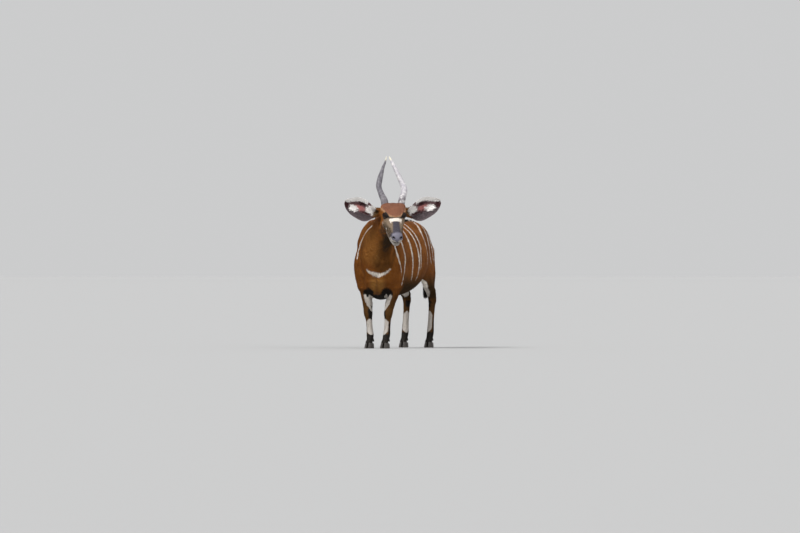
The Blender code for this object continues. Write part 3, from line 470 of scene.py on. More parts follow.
# The head in its own axes: skull, jaw, cheek, sides of the lips; brow, under the eye, forehead, seat of
# the horn, its rim, root of the ear; nose pad, wing of the nostril, upper lip and lower lip.
HEAD_STROKES = [
    (0.03, [
        (0, -0.012, -0.104, 0.078, 0.07), (0, -0.055, -0.083, 0.096, 0.084),
        (0, -0.115, -0.074, 0.092, 0.077),
        (0, -0.185, -0.078, 0.081, 0.067), (0, -0.265, -0.081, 0.066, 0.056),
        (0, -0.32, -0.084, 0.055, 0.051),
        (0, -0.346, -0.087, 0.053, 0.047),
    ]),
    (0.035, [
        (0, 0.0, -0.19, 0.072, 0.052), (0, -0.09, -0.188, 0.078, 0.052), (0, -0.19, -0.174, 0.073, 0.044),
        (0, -0.29, -0.156, 0.058, 0.036), (0, -0.34, -0.15, 0.048, 0.029),
    ]),
    (0.04, [(0.07, -0.02, -0.14, 0.028, 0.066), (0.068, -0.12, -0.142, 0.026, 0.052)]),
    (0.03, [
        (0, -0.07, -0.132, 0.086, 0.056), (0, -0.14, -0.13, 0.081, 0.05), (0, -0.215, -0.128, 0.073, 0.045),
        (0, -0.3, -0.122, 0.059, 0.037),
    ]),
    (0.02, [(0.062, -0.075, -0.024, 0.03, 0.022), (0.076, -0.125, -0.032, 0.022, 0.019)]),
    (0.025, [(0.072, -0.16, -0.084, 0.018, 0.016), (0.078, -0.08, -0.086, 0.024, 0.022)]),
    (0.03, [(0, -0.012, -0.036, 0.07, 0.024), (0, -0.068, -0.012, 0.07, 0.022)]),
    (0.03, [(0.052, -0.034, -0.048, 0.036, 0.034), (0.074, -0.008, -0.046, 0.038, 0.037)]),
    (0.03, [(0.08, -0.022, -0.058, 0.028, 0.028), (0.088, -0.074, -0.048, 0.023, 0.021)]),
    (0.04, [(0.066, -0.002, -0.128, 0.04, 0.052), (0.094, 0.006, -0.134, 0.03, 0.04)]),
    (0.02, [(0, -0.345, -0.058, 0.03, 0.026), (0, -0.372, -0.074, 0.03, 0.026)]),
    (0.014, [(0.031, -0.345, -0.062, 0.019, 0.018), (0.036, -0.368, -0.076, 0.018, 0.018)]),
    (0.016, [(0.024, -0.366, -0.098, 0.024, 0.018), (0.042, -0.32, -0.106, 0.015, 0.02)]),
    (0.014, [(0, -0.32, -0.16, 0.04, 0.021), (0, -0.372, -0.153, 0.033, 0.02)]),
]
# Half of the line where the lips meet, from the corner of the mouth to the middle.
MOUTH = [
    (0.064, -0.215, -0.139, 0.007, 0.003), (0.057, -0.27, -0.136, 0.011, 0.0042),
    (0.05, -0.325, -0.131, 0.012, 0.0044), (0.034, -0.372, -0.127, 0.012, 0.0044),
    (0.0, -0.388, -0.125, 0.012, 0.0044),
]
# Nostril, and the furrow between nostrils and lip.
HEAD_CUTS = [
    (0.006, [(0.027, -0.394, -0.052, 0.0075, 0.009), (0.037, -0.37, -0.063, 0.0065, 0.0105)]),
    (0.006, [(0, -0.404, -0.076, 0.0025, 0.004), (0, -0.398, -0.106, 0.0025, 0.004)]),
]


def mirrored(rows, side):
    return [(side * x, *rest) for x, *rest in rows]


def from_foot(rows, side, foot_x, foot_y):
    """Rows whose first two numbers are out and back from a foot."""
    return [(side * (foot_x + out), foot_y[side] + back, *rest) for out, back, *rest in rows]


def add_foreleg(flesh, side):
    foot = (side, FORE_FOOT_X, FORE_FOOT_Y)
    upper = [(side * (FORE_FOOT_X + 0.068), *UPPER_FOREARM)]
    flesh.add(upper + from_foot(FOREARM, *foot), 0.03, up=ALONG_BODY)
    flesh.add(from_foot(FORE_SHIN, *foot), 0.02, up=ALONG_BODY)


def add_hindleg(flesh, side):
    foot = (side, HIND_FOOT_X, HIND_FOOT_Y)
    back = HIND_FOOT_Y[side]
    stifle = [(side * 0.124, back - 0.055, 0.63, 0.044, 0.096)]
    shank = from_foot([(0.006, 0.03, 0.53, 0.035, 0.052)], *foot)
    gaskin = [(side * 0.118, back + 0.07, 0.68, 0.036, 0.058)]
    gaskin += [(side * 0.121, back + 0.08, 0.59, 0.022, 0.045)]
    tendon = from_foot([(0, 0.108, 0.52, 0.017, 0.021)], *foot)
    flesh.add(mirrored(CROUP, side), 0.06)
    flesh.add(mirrored(THIGH, side) + stifle + shank, 0.05, up=ALONG_BODY)
    flesh.add(mirrored(HAMSTRING, side) + gaskin + tendon, 0.05, up=ALONG_BODY)
    flesh.add(from_foot(HIND_SHIN, *foot), 0.022, up=ALONG_BODY)
    flesh.add(from_foot(HOCK_POINT, *foot), 0.03)


def eye_centre(side):
    return Vector((side * EYE_SIDE, -EYE_FORWARD, EYE_DROP))


def eye_gaze(side):
    return Vector((side * 0.7, -0.44, 0.56)).normalized()


def add_eye_rims(flesh):
    """The orbit and slit of each eye, with a heavy upper lid and a thin lower one round it."""
    for side in (1, -1):
        centre = eye_centre(side)
        gaze = eye_gaze(side)
        flesh.add([(*(centre - gaze * 0.012), 0.036, 0.032), (*(centre - gaze * 0.004), 0.029, 0.025)], 0.02)
        slit = [(*(centre + gaze * 0.012), 0.0205, 0.0145), (*(centre + gaze * 0.06), 0.026, 0.019)]
        flesh.add(slit, 0.006, carve=True)
        along = Vector((side * -0.36, -0.9, -0.18))
        along = (along - gaze * along.dot(gaze)).normalized()
        over = gaze.cross(along) * side
        for turn, thick in ((1, 0.0058), (-1, 0.0042)):
            rim = []
            for k in range(7):
                angle = math.pi * k / 6
                flat = along * (0.023 * math.cos(angle)) + over * (turn * 0.017 * math.sin(angle))
                place = centre + flat + gaze * (0.0105 + 0.0055 * math.sin(angle))
                rim.append((*place, thick, thick))
            flesh.add(rim, 0.006, steps=2, up=gaze)


def whole_animal(head):
    flesh = Flesh()
    flesh.add_all(TRUNK_STROKES)
    for blend, rows in BREAST_STROKES:
        flesh.add(rows, blend)
    for side in (1, -1):
        for blend, rows in SHOULDER_STROKES:
            flesh.add(mirrored(rows, side), blend, up=ALONG_BODY)
        if side < 0:
            flesh.add(RIGHT_BLADE, 0.08, up=ALONG_BODY)
        add_foreleg(flesh, side)
        add_hindleg(flesh, side)
    flesh.add(NECK, 0.07, steps=12)
    flesh.axes = head
    flesh.add_all(HEAD_STROKES)
    flesh.add(MOUTH + mirrored(MOUTH[:-1], -1)[::-1], 0.004, steps=3, carve=True)
    flesh.add_all(HEAD_CUTS, carve=True)
    add_eye_rims(flesh)
    return flesh


# The skin. The fine mesh of the head meets the coarser one of the body at a plane through the nape.

NAPE = Vector((0.195, -0.722, 1.197))
NAPE_WAY = Vector((0.54, -0.37, 0.755)).normalized()
SEAM = 0.004


def slice_off(obj, point, normal):
    """Cuts away what lies behind the plane, and leaves the cut open."""
    bm = bmesh.new()
    bm.from_mesh(obj.data)
    parts = bm.verts[:] + bm.edges[:] + bm.faces[:]
    bmesh.ops.bisect_plane(bm, geom=parts, plane_co=point, plane_no=normal, clear_inner=True)
    bm.to_mesh(obj.data)
    bm.free()


def make_skin(head):
    flesh = whole_animal(head)
    body = surface_mesh(flesh, "skin", (-0.34, -1.02, -0.02), (0.46, 0.86, 1.42), BODY_VOXEL, head, 1.0)
    slice_off(body, NAPE, -NAPE_WAY)
    centre = head @ Vector((0, -0.16, -0.08))
    reach = Vector((0.26, 0.28, 0.31))
    face = surface_mesh(flesh, "face", centre - reach, centre + reach, HEAD_VOXEL, head)
    slice_off(face, NAPE + NAPE_WAY * SEAM, NAPE_WAY)
    largest_surface(face)
    bm = bmesh.new()
    bm.from_mesh(body.data)
    bm.from_mesh(face.data)
    bmesh.ops.bridge_loops(bm, edges=[e for e in bm.edges if len(e.link_faces) == 1])
    bmesh.ops.triangulate(bm, faces=bm.faces)
    bmesh.ops.recalc_face_normals(bm, faces=bm.faces)
    bm.to_mesh(body.data)
    bm.free()
    bpy.data.objects.remove(face)
    body.data.shade_smooth()
    return body


# Markings, with painted light and shade. Distances are in metres, positive inside the mark.

NOWHERE = -9.0
MARK_REACH = 0.05
STRIPES = [
    # (y, z) down the side, and the height where the stripe ends
    [(-0.585, 1.06), (-0.545, 0.936), (-0.53, 0.831), (-0.48, 0.7)],
    [(-0.44, 1.13), (-0.4, 0.978), (-0.38, 0.834), (-0.41, 0.718), (-0.462, 0.6)],
    [(-0.255, 1.2), (-0.195, 1.087), (-0.183, 0.907), (-0.16, 0.737), (-0.125, 0.645)],
    [(-0.095, 1.2), (-0.055, 1.1), (-0.048, 0.955), (-0.032, 0.823), (-0.012, 0.65)],
    [(0.045, 1.2), (0.058, 1.13), (0.035, 1.06), (0.03, 0.98), (0.004, 0.87), (0.02, 0.74)],
    [(0.19, 1.2), (0.205, 1.1), (0.215, 0.98), (0.205, 0.847), (0.225, 0.73)],
    [(0.325, 1.2), (0.308, 1.124), (0.258, 1.04), (0.228, 0.952), (0.232, 0.86), (0.25, 0.79)],
    [(0.415, 1.2), (0.425, 1.126), (0.452, 1.028), (0.5, 0.9), (0.545, 0.8)],
    [(0.51, 1.2), (0.52, 1.11), (0.552, 1.0), (0.6, 0.89), (0.64, 0.81)],
    [(0.59, 1.2), (0.605, 1.08), (0.64, 0.98), (0.68, 0.88), (0.7, 0.82)],
    [(0.045, 1.2), (0.065, 1.112), (0.074, 1.003), (0.06, 0.846), (0.08, 0.68)],
    [(0.315, 1.2), (0.33, 1.11), (0.345, 0.98), (0.35, 0.87), (0.38, 0.77)],
]
STRIPE_HALF = 0.0118
LEFT_ONLY = (0, 4, 6)
RIGHT_ONLY = (5, 10, 11)
# In the lines below, the last number of each row is a half width. First x, y, z.
SHOULDER_STRIPE = [
    (0.008, -0.68, 1.159, 0.0085), (-0.056, -0.611, 1.125, 0.0092), (-0.094, -0.58, 1.09, 0.0094),
    (-0.123, -0.563, 1.051, 0.0094), (-0.144, -0.562, 1.006, 0.0095), (-0.156, -0.564, 0.969, 0.0096),
    (-0.165, -0.572, 0.926, 0.0097), (-0.168, -0.586, 0.892, 0.0095), (-0.171, -0.598, 0.85, 0.0075),
]
# Painted shade down the throat, which is also a darker olive-brown of its own.
THROAT = [
    (0.27, -0.845, 1.11, 0.045), (0.232, -0.8, 1.04, 0.055),
    (0.175, -0.755, 0.93, 0.07), (0.125, -0.7, 0.8, 0.08),
]
# Painted shadow under the jaw, at the top of the throat.
UNDER_JAW_SHADOW = [(0.24, -0.815, 1.085, 0.036), (0.21, -0.788, 1.015, 0.044), (0.172, -0.755, 0.93, 0.026)]
# Across the breast: x and z.
CRESCENT = [
    (-0.038, 0.747, 0.005), (-0.004, 0.72, 0.013), (0.034, 0.702, 0.021), (0.07, 0.694, 0.021),
    (0.104, 0.698, 0.014), (0.136, 0.718, 0.0085), (0.17, 0.755, 0.004),
]
# On the breast and forearms as seen from the photo's side: across and height.
VIEW_SIDE = 0.94
VIEW_AHEAD = 0.342
ARM_WEDGES = [
    [(-0.293, 0.5, 0.014), (-0.263, 0.425, 0.018), (-0.228, 0.354, 0.005)],
    [(-0.05, 0.5, 0.014), (-0.08, 0.425, 0.019), (-0.112, 0.354, 0.005)],
]
# Painted shade: a dark line down the furrow between the breast muscles, and one in the crease between the
# neck and the shoulder.
BREAST_CLEFT_SHADE = [(-0.184, 0.67, 0.003), (-0.182, 0.53, 0.007)]
NECK_CREASE_SHADE = [(-0.006, 0.954, 0.006), (-0.025, 0.869, 0.012), (-0.048, 0.775, 0.008)]
# A painted pool of light on the lit side of the neck.
NECK_LIT = [(-0.228, 1.068, 0.05), (-0.24, 0.879, 0.06)]
# Ovals seen the same way: middle across, middle height, half width and half height.
HOLLOWS = [(-0.262, 0.518, 0.05, 0.06), (-0.085, 0.518, 0.056, 0.06)]
# The two breast muscles, painted golden as a highlight.
BULGES = [(-0.212, 0.6, 0.032, 0.066), (-0.146, 0.6, 0.036, 0.066)]
# On the head, in its own axes: x, y, z.
JAW_STREAK = [
    (0.098, -0.1, -0.17, 0.006), (0.084, -0.18, -0.178, 0.006),
    (0.06, -0.27, -0.16, 0.006), (0.046, -0.33, -0.148, 0.008),
]
BROW_BAR = [(0.0, -0.198, -0.012, 0.016), (0.03, -0.196, -0.016, 0.017), (0.05, -0.19, -0.026, 0.014)]
BROW_BAR_END = [
    (0.048, -0.2, -0.028, 0.007), (0.047, -0.222, -0.034, 0.002), (0.045, -0.238, -0.037, -0.002),
]
ABOVE_BAR = [(0.0, -0.176, -0.006, 0.005), (0.03, -0.175, -0.01, 0.006), (0.056, -0.166, -0.022, 0.007)]
CHEEK_SPOTS = [(0.096, -0.128, -0.138, 0.013), (0.079, -0.212, -0.128, 0.012)]
NOSTRIL_LINE = [(0.027, -0.394, -0.052, 0.012), (0.037, -0.37, -0.063, 0.0115)]
LIP_WIDTHS = (0.004, 0.005, 0.007, 0.0095, 0.0105)
# On the head: x and y.
TEAR_LINE = [(0.094, -0.122, 0.02), (0.078, -0.14, 0.014), (0.058, -0.16, 0.006)]
# On the face as seen from the front: out from the middle and down the face.
FACE_SLANT = 0.839
CROWN_EDGE = [
    (0.113, 0.072, 0.006), (0.103, 0.098, 0.008), (0.081, 0.134, 0.009), (0.045, 0.162, 0.008),
    (0.0, 0.17, 0.004),
]
# Painted shade: a dark band down the side of the face toward the jaw.
CHEEK_SHADE_LINE = [(0.09, 0.27, 0.008), (0.079, 0.325, 0.028), (0.067, 0.375, 0.028), (0.052, 0.42, 0.01)]
JAW_LINE = [(0.106, 0.265, 0.003), (0.097, 0.335, 0.006), (0.079, 0.4, 0.007), (0.062, 0.44, 0.007)]
# The middle of a leg: height, out from the foot, back from the foot.
FORE_AXIS = [
    (0.05, 0.0, -0.028), (0.08, 0.0, -0.012), (0.13, 0.004, 0.012), (0.2, 0.01, 0.014),
    (0.27, 0.016, 0.012), (0.34, 0.023, 0.008), (0.42, 0.033, 0.024), (0.51, 0.054, 0.048),
    (0.62, 0.068, 0.06),
]
HIND_AXIS = [
    (0.05, 0.0, -0.016), (0.09, 0.0, 0.002), (0.14, 0.0, 0.03), (0.27, 0.0, 0.052),
    (0.39, 0.0, 0.072), (0.46, 0.002, 0.078), (0.53, 0.006, 0.03), (0.63, 0.008, -0.055),
    (0.72, 0.006, -0.06),
]
FORE_PLACE = (FORE_AXIS, FORE_FOOT_X, FORE_FOOT_Y)
HIND_PLACE = (HIND_AXIS, HIND_FOOT_X, HIND_FOOT_Y)


def most(*values):
    return np.maximum.reduce(values)


def least(*values):
    return np.minimum.reduce(values)


def oval(a, b, middle_a, middle_b, half_a, half_b):
    """How far places of a plane are inside an oval."""
    far = np.sqrt(((a - middle_a) / half_a) ** 2 + ((b - middle_b) / half_b) ** 2)
    return (1 - far) * min(half_a, half_b)


def near_line(points, rows):
    """How far each point is inside a band whose rows are a place and a half width."""
    rows = np.array(rows)
    best = np.full(len(points), NOWHERE)
    for here, there in zip(rows[:-1], rows[1:]):
        along = there[:-1] - here[:-1]
        t = np.clip((points - here[:-1]) @ along / (along @ along), 0, 1)
        gap = np.linalg.norm(points - here[:-1] - t[:, None] * along, axis=1)
        best = np.maximum(best, here[-1] + t * (there[-1] - here[-1]) - gap)
    return best


def in_spot(points, centre, radius):
    return radius - np.linalg.norm(points - np.array(centre), axis=1)


def stripe_marks(points):
    """The pale stripes down the back and flanks. Each narrows at the spine and toward its lower end."""
    x, y, z = points.T
    best = np.full(len(points), NOWHERE)
    for k, line in enumerate(STRIPES):
        places, heights = np.array(line)[::-1].T
        middle = np.interp(z, heights, places) + 0.012 * math.sin(3.1 * k) * (x < 0)
        slope = (np.interp(z + 0.01, heights, places) - np.interp(z - 0.01, heights, places)) / 0.02
        across = np.abs(y - middle) / np.sqrt(1 + slope**2)
        share = np.clip((z - heights[0]) / 0.22, 0, 1)
        top = 1 - 0.35 * soft(z, 1.12, 1.19)
        half = STRIPE_HALF * (0.35 + 0.65 * share) * top * (1 + 0.12 * np.sin(31 * z + 2 * k))
        stripe = np.minimum(half - across, (z - heights[0]) * 0.5)
        if k in LEFT_ONLY:
            stripe = np.where(x > 0, stripe, NOWHERE)
        if k in RIGHT_ONLY:
            stripe = np.where(x < 0, stripe, NOWHERE)
        best = np.maximum(best, stripe)
    return np.where((np.abs(x) > 0.004) & (z > 0.55), best, np.minimum(best, -0.003))


def leg_place(points, axis, foot_x, foot_y, side):
    """Out from the middle of the leg and ahead of it, both in metres."""
    heights, out, back = np.array(axis).T
    z = points[:, 2]
    middle_x = side * (foot_x + np.interp(z, heights, out))
    middle_y = foot_y[side] + np.interp(z, heights, back)
    return (points[:, 0] - middle_x) * side, middle_y - points[:, 1]


def rounded(z, middle, straight, close):
    """Nothing over the straight part of a patch, then more and more toward its two ends."""
    return close * np.clip(np.abs(z - middle) - straight, 0, 1)


def leg_marks(points, seen, white, black):
    """White inner sides and shins, black knees, hocks, backs and feet, and a white spot over each toe."""
    x, y, z = points.T
    wedges = most(*[near_line(seen, rows) for rows in ARM_WEDGES])
    for side in (1, -1):
        mine = x * side > -0.01
        out, ahead = leg_place(points, *FORE_PLACE, side)
        here = mine & (y < -0.2) & (z < 0.62)
        inner = -out * 0.75 + ahead * 0.66
        arm = -out - 0.02 - rounded(z, 0.455, 0.025, 0.8)
        wedge = np.where(ahead > -0.015, wedges, NOWHERE)
        shin = inner - 0.001 - rounded(z, 0.205, 0.045, 1.0)
        knee = -out * 0.95 - ahead * 0.2 - 0.006 - rounded(z, 0.315, 0.055, 0.8)
        behind = -inner - 0.004 - 0.9 * np.clip(z - 0.235, 0, 1)
        low = 0.138 - z + 0.1 * np.clip(-inner, 0, 0.03)
        near = here & (np.hypot(out, ahead) < 0.075)
        white[near] = most(white, arm, wedge)[near]
        white[here] = most(white, shin)[here]
        black[here] = most(black, knee, behind, low)[here]
        out, ahead = leg_place(points, *HIND_PLACE, side)
        here = mine & (y > 0.25) & (z < 0.75)
        inner = -out * 0.7 + ahead * 0.71
        thigh = least(inner - 0.02, 0.018 - out) - rounded(z, 0.575, 0.055, 0.9)
        thigh -= 0.8 * np.clip(0.37 - y, 0, 1)
        shin = inner - 0.002 - rounded(z, 0.25, 0.065, 0.8)
        hock = -out * 0.8 + ahead * 0.5 - 0.016 - rounded(z, 0.415, 0.02, 0.8)
        behind = -inner - 0.006 - 0.8 * np.clip(z - 0.25, 0, 1)
        low = 0.15 - z + 0.1 * np.clip(-inner, 0, 0.03)
        white[here] = most(white, thigh, shin)[here]
        black[here] = most(black, hock, behind, low)[here]
        for foot_x, foot_y, reach in ((FORE_FOOT_X, FORE_FOOT_Y, 0.066), (HIND_FOOT_X, HIND_FOOT_Y, 0.054)):
            for toe in (-0.017, 0.017):
                spot = (side * foot_x + toe, foot_y[side] - reach, 0.08)
                np.maximum(white, in_spot(points, spot, 0.012), out=white)


def face_marks(local, white, wear):
    """Marks of the head, with its painted shade, from points in its own axes with left folded onto right."""
    x, y, z = local.T
    inside = (y < 0.1) & (z > -0.3)
    lines = [near_line(local, rows) for rows in (BROW_BAR, BROW_BAR_END, JAW_STREAK)]
    spots = [in_spot(local, spot[:3], spot[3]) for spot in CHEEK_SPOTS]
    chin = least(-0.3 - y, -0.131 - z)
    lip = least(-0.342 - y, -0.08 - z, np.maximum(x - 0.011, -0.11 - z))
    white[inside] = most(white, *lines, *spots, chin, lip)[inside]
    front = soft(z, -0.1, -0.055) * inside
    bridge = soft(0.03 + 0.1 * np.clip(-0.24 - y, 0, 0.2) - x, -0.01, 0.008) * soft(-y, 0.2, 0.215)
    wear["slate"] = most(bridge * front, soft(-y, 0.3, 0.345) * inside)
    wear["grey"] = soft(-y, 0.105, 0.165) * soft(x, 0.01, 0.026) * soft(z, -0.225, -0.17) * inside
    down = -(y + FACE_SLANT * z)
    edge = np.array(CROWN_EDGE)[::-1]
    flat = np.stack([x, down], 1)
    above = np.interp(x, edge[:, 0], edge[:, 1]) - down
    front = soft(z, -0.095, -0.06) * inside
    wear["crown"] = soft(above, -0.006, 0.006) * soft(0.116 - x, 0.0, 0.012) * front
    wear["pale"] = soft(near_line(flat, CROWN_EDGE), -0.004, 0.004) * front * 0.85
    cheek = inside & (z < -0.035)
    # Painted shade down the side of the face, and above the white bar a dark line of the coat.
    blotch = soft(near_line(flat, CHEEK_SHADE_LINE), -0.014, 0.01) * cheek * 0.85
    wear["blotch"] = most(blotch, soft(near_line(local, ABOVE_BAR), -0.006, 0.004) * inside * 0.8)
    # Painted shadow: the white of the lower jaw, the chin and the front of the muzzle greyed.
    wear["dust"] = np.clip(soft(-z, 0.09, 0.12) * inside + soft(-y, 0.3, 0.33) * inside * 0.5, 0, 1)
    white[:] = most(white, np.where(cheek & (z > -0.2), near_line(flat, JAW_LINE), NOWHERE))
    pad = least(0.05 - x, most(z + 0.079, least(0.011 - x, z + 0.108)))
    wear["pad"] = soft(pad, -0.002, 0.003) * soft(-y, 0.318, 0.352) * inside
    # Black bare skin round each eye, painted wider as the shade of the lids; black in the nostrils and along
    # the mouth, dark skin with painted shade in their hollows.
    rim = in_spot(local, (EYE_SIDE, -EYE_FORWARD, EYE_DROP), 0.029)
    tear = least(near_line(local[:, :2], TEAR_LINE), 0.075 + z)
    lips = [(*row[:3], wide) for row, wide in zip(MOUTH, LIP_WIDTHS)]
    mouth = most(near_line(local, lips), near_line(local, NOSTRIL_LINE))
    lids = most(soft(rim, -0.003, 0.002), soft(tear, -0.004, 0.004))
    wear["rim"] = most(lids, soft(mouth, -0.001, 0.003)) * inside


def marks(points, head):
    """What the coat shows at each point, as named arrays."""
    x, y, z = points.T
    across = VIEW_SIDE * x + VIEW_AHEAD * y
    seen = np.stack([across, z], 1)
    band = np.where(y < -0.45, near_line(points[:, ::2], CRESCENT), NOWHERE)
    white = most(stripe_marks(points), band, near_line(points, SHOULDER_STRIPE))
    black = np.full(len(points), NOWHERE)
    leg_marks(points, seen, white, black)
    local = to_axes(points, head)
    local[:, 0] = np.abs(local[:, 0])
    wear = {}
    face_marks(local, white, wear)

    breast = y < -0.36
    bulge = most(*[oval(across, z, *row) for row in BULGES])
    # Painted highlight: golden light on the breast muscles, and a pool of light on the lit side of the neck.
    lit = 0.35 * soft(near_line(seen, NECK_LIT), -0.06, 0.03) * (y < -0.42)
    wear["glow"] = most(0.85 * soft(bulge, -0.03, 0.03) * breast, lit)
    hollow = most(*[oval(across, z, *row) for row in HOLLOWS], least(0.512 - z, 0.095 - np.abs(x)))
    brisket = least(hollow, -0.36 - y, z - 0.43)
    keel = least(0.075 - np.abs(x), 0.56 - z)
    keel = np.where((y > -0.5) & (y < 0.35) & (z > 0.44), keel, NOWHERE)
    # Painted shade in the crease of the neck and the furrow of the breast.
    crease_shade = np.where(y < -0.5, near_line(seen, NECK_CREASE_SHADE), NOWHERE)
    fold_shade = most(near_line(seen, BREAST_CLEFT_SHADE), crease_shade)
    body = np.clip(soft(local[:, 1], -0.02, 0.08) + soft(-local[:, 2], 0.2, 0.28), 0, 1)
    # Painted shade down the throat; the flanks darker toward the belly, with painted shade in the breast's
    # furrow.
    throat = (0.62 + 0.3 * soft(z, 0.92, 1.06)) * soft(near_line(points, THROAT), -0.06, 0.02) * body
    belly = soft(-z, -0.74, -0.58) * soft(z, 0.42, 0.48) * soft(y, -0.5, -0.36)
    belly = 0.95 * most(belly, soft(fold_shade, -0.02, 0.008) * 0.5 * breast)
    # Painted shade on the legs, from 0.59 m down and most of it below 0.41 m.
    arm = soft(-z, -0.59, -0.41) * 0.85 * (z < 0.6)
    wear["shade"] = np.clip(most(throat, belly, arm), 0, 1)
    # Painted shadow under the jaw.
    wear["blotch"] = most(wear["blotch"], 0.95 * soft(near_line(points, UNDER_JAW_SHADOW), -0.024, 0.008) * body)
    # The white marks greyer low on the legs.
    wear["dust"] = most(wear["dust"], soft(-z, -0.56, -0.42) * 0.8)
    wear["white"] = np.clip(white, -MARK_REACH, MARK_REACH)
    wear["black"] = np.clip(most(black, brisket, keel), -MARK_REACH, MARK_REACH)
    return wear


# Materials

def colour(red, green, blue):
    return (red, green, blue, 1.0)


CHESTNUT = colour(0.215, 0.068, 0.008)
CHESTNUT_LIGHT = colour(0.375, 0.134, 0.022)
CHESTNUT_DEEP = colour(0.085, 0.022, 0.005)
OLIVE_BROWN = colour(0.046, 0.022, 0.003)
GOLDEN_HIGHLIGHT = colour(0.43, 0.2, 0.045)
GREY_TAN = colour(0.185, 0.128, 0.085)
GREY_TAN_LIGHT = colour(0.335, 0.255, 0.18)
FOREHEAD = colour(0.32, 0.145, 0.088)
FOREHEAD_DEEP = colour(0.19, 0.07, 0.038)
PALE_TAN = colour(0.48, 0.27, 0.15)
PATCH_AND_SHADE_BROWN = colour(0.036, 0.022, 0.012)
SLATE = colour(0.04, 0.035, 0.045)
SLATE_LIGHT = colour(0.105, 0.095, 0.118)
SOOT = colour(0.009, 0.006, 0.004)
CREAM = colour(0.86, 0.795, 0.72)
GREYED_CREAM = colour(0.4, 0.365, 0.33)
NOSE_SHEEN_GREY = colour(0.155, 0.148, 0.186)
BLACK_SKIN_AND_SHADE = colour(0.01, 0.007, 0.006)


class Nodes:
    """A short way to write a node material: each call adds one node and returns its output."""

    def __init__(self, name):
        self.material = bpy.data.materials.new(name)
        self.material.use_nodes = True
        self.tree = self.material.node_tree
        self.shader = self.tree.nodes["Principled BSDF"]

    def put(self, socket, value):
        if isinstance(value, bpy.types.NodeSocket):
            self.tree.links.new(value, socket)
        else:
            socket.default_value = value

    def add(self, kind, output=0, settings=None, **inputs):
        """A node of a kind. Settings are its own, and inputs go by name, or by in_ and a number."""
        node = self.tree.nodes.new(kind)
        for key, value in (settings or {}).items():
            setattr(node, key, value)
        for key, value in inputs.items():
            self.put(node.inputs[int(key[3:]) if key.startswith("in_") else key.replace("_", " ")], value)
        return node.outputs[output]

    def attribute(self, name):
        return self.add("ShaderNodeAttribute", 2, {"attribute_name": name})

    def place(self, stretch=(1, 1, 1), turn=(0, 0, 0)):
        where = self.add("ShaderNodeTexCoord", 3)
        return self.add("ShaderNodeMapping", Vector=where, Scale=stretch, Rotation=turn)

    def noise(self, vector, scale, detail=4.0, rough=0.6):
        return self.add("ShaderNodeTexNoise", Vector=vector, Scale=scale, Detail=detail, Roughness=rough)

    def math(self, how, a, b=0.0):
        return self.add("ShaderNodeMath", 0, {"operation": how}, in_0=a, in_1=b)

    def ramp(self, value, low, high, to_low=0.0, to_high=1.0):
        settings = {"interpolation_type": "SMOOTHSTEP"}
        limits = {"From_Min": low, "From_Max": high, "To_Min": to_low, "To_Max": to_high}
        return self.add("ShaderNodeMapRange", 0, settings, Value=value, **limits)

    def mix(self, share, a, b):
        return self.add("ShaderNodeMix", 2, {"data_type": "RGBA"}, in_0=share, in_6=a, in_7=b)

    def swing(self, value, reach):
        """A noise moved to lie about zero, and scaled."""
        return self.math("MULTIPLY", self.math("SUBTRACT", value, 0.5), reach)

    def strand_tone(self, tone, reach):
        """Each hair a little lighter or darker than the rest."""
        value = self.ramp(self.attribute("strand"), 0.0, 1.0, 1 - reach, 1 + reach)
        return self.add("ShaderNodeHueSaturation", Color=tone, Value=value)

    def finish(self, tone, gloss, specular, height=None, strength=0.0, distance=0.0):
        self.put(self.shader.inputs["Base Color"], tone)
        self.put(self.shader.inputs["Roughness"], gloss)
        self.put(self.shader.inputs["Specular IOR Level"], specular)
        if height is not None:
            normal = self.add("ShaderNodeBump", Height=height, Strength=strength, Distance=distance)
            self.put(self.shader.inputs["Normal"], normal)
        return self.material


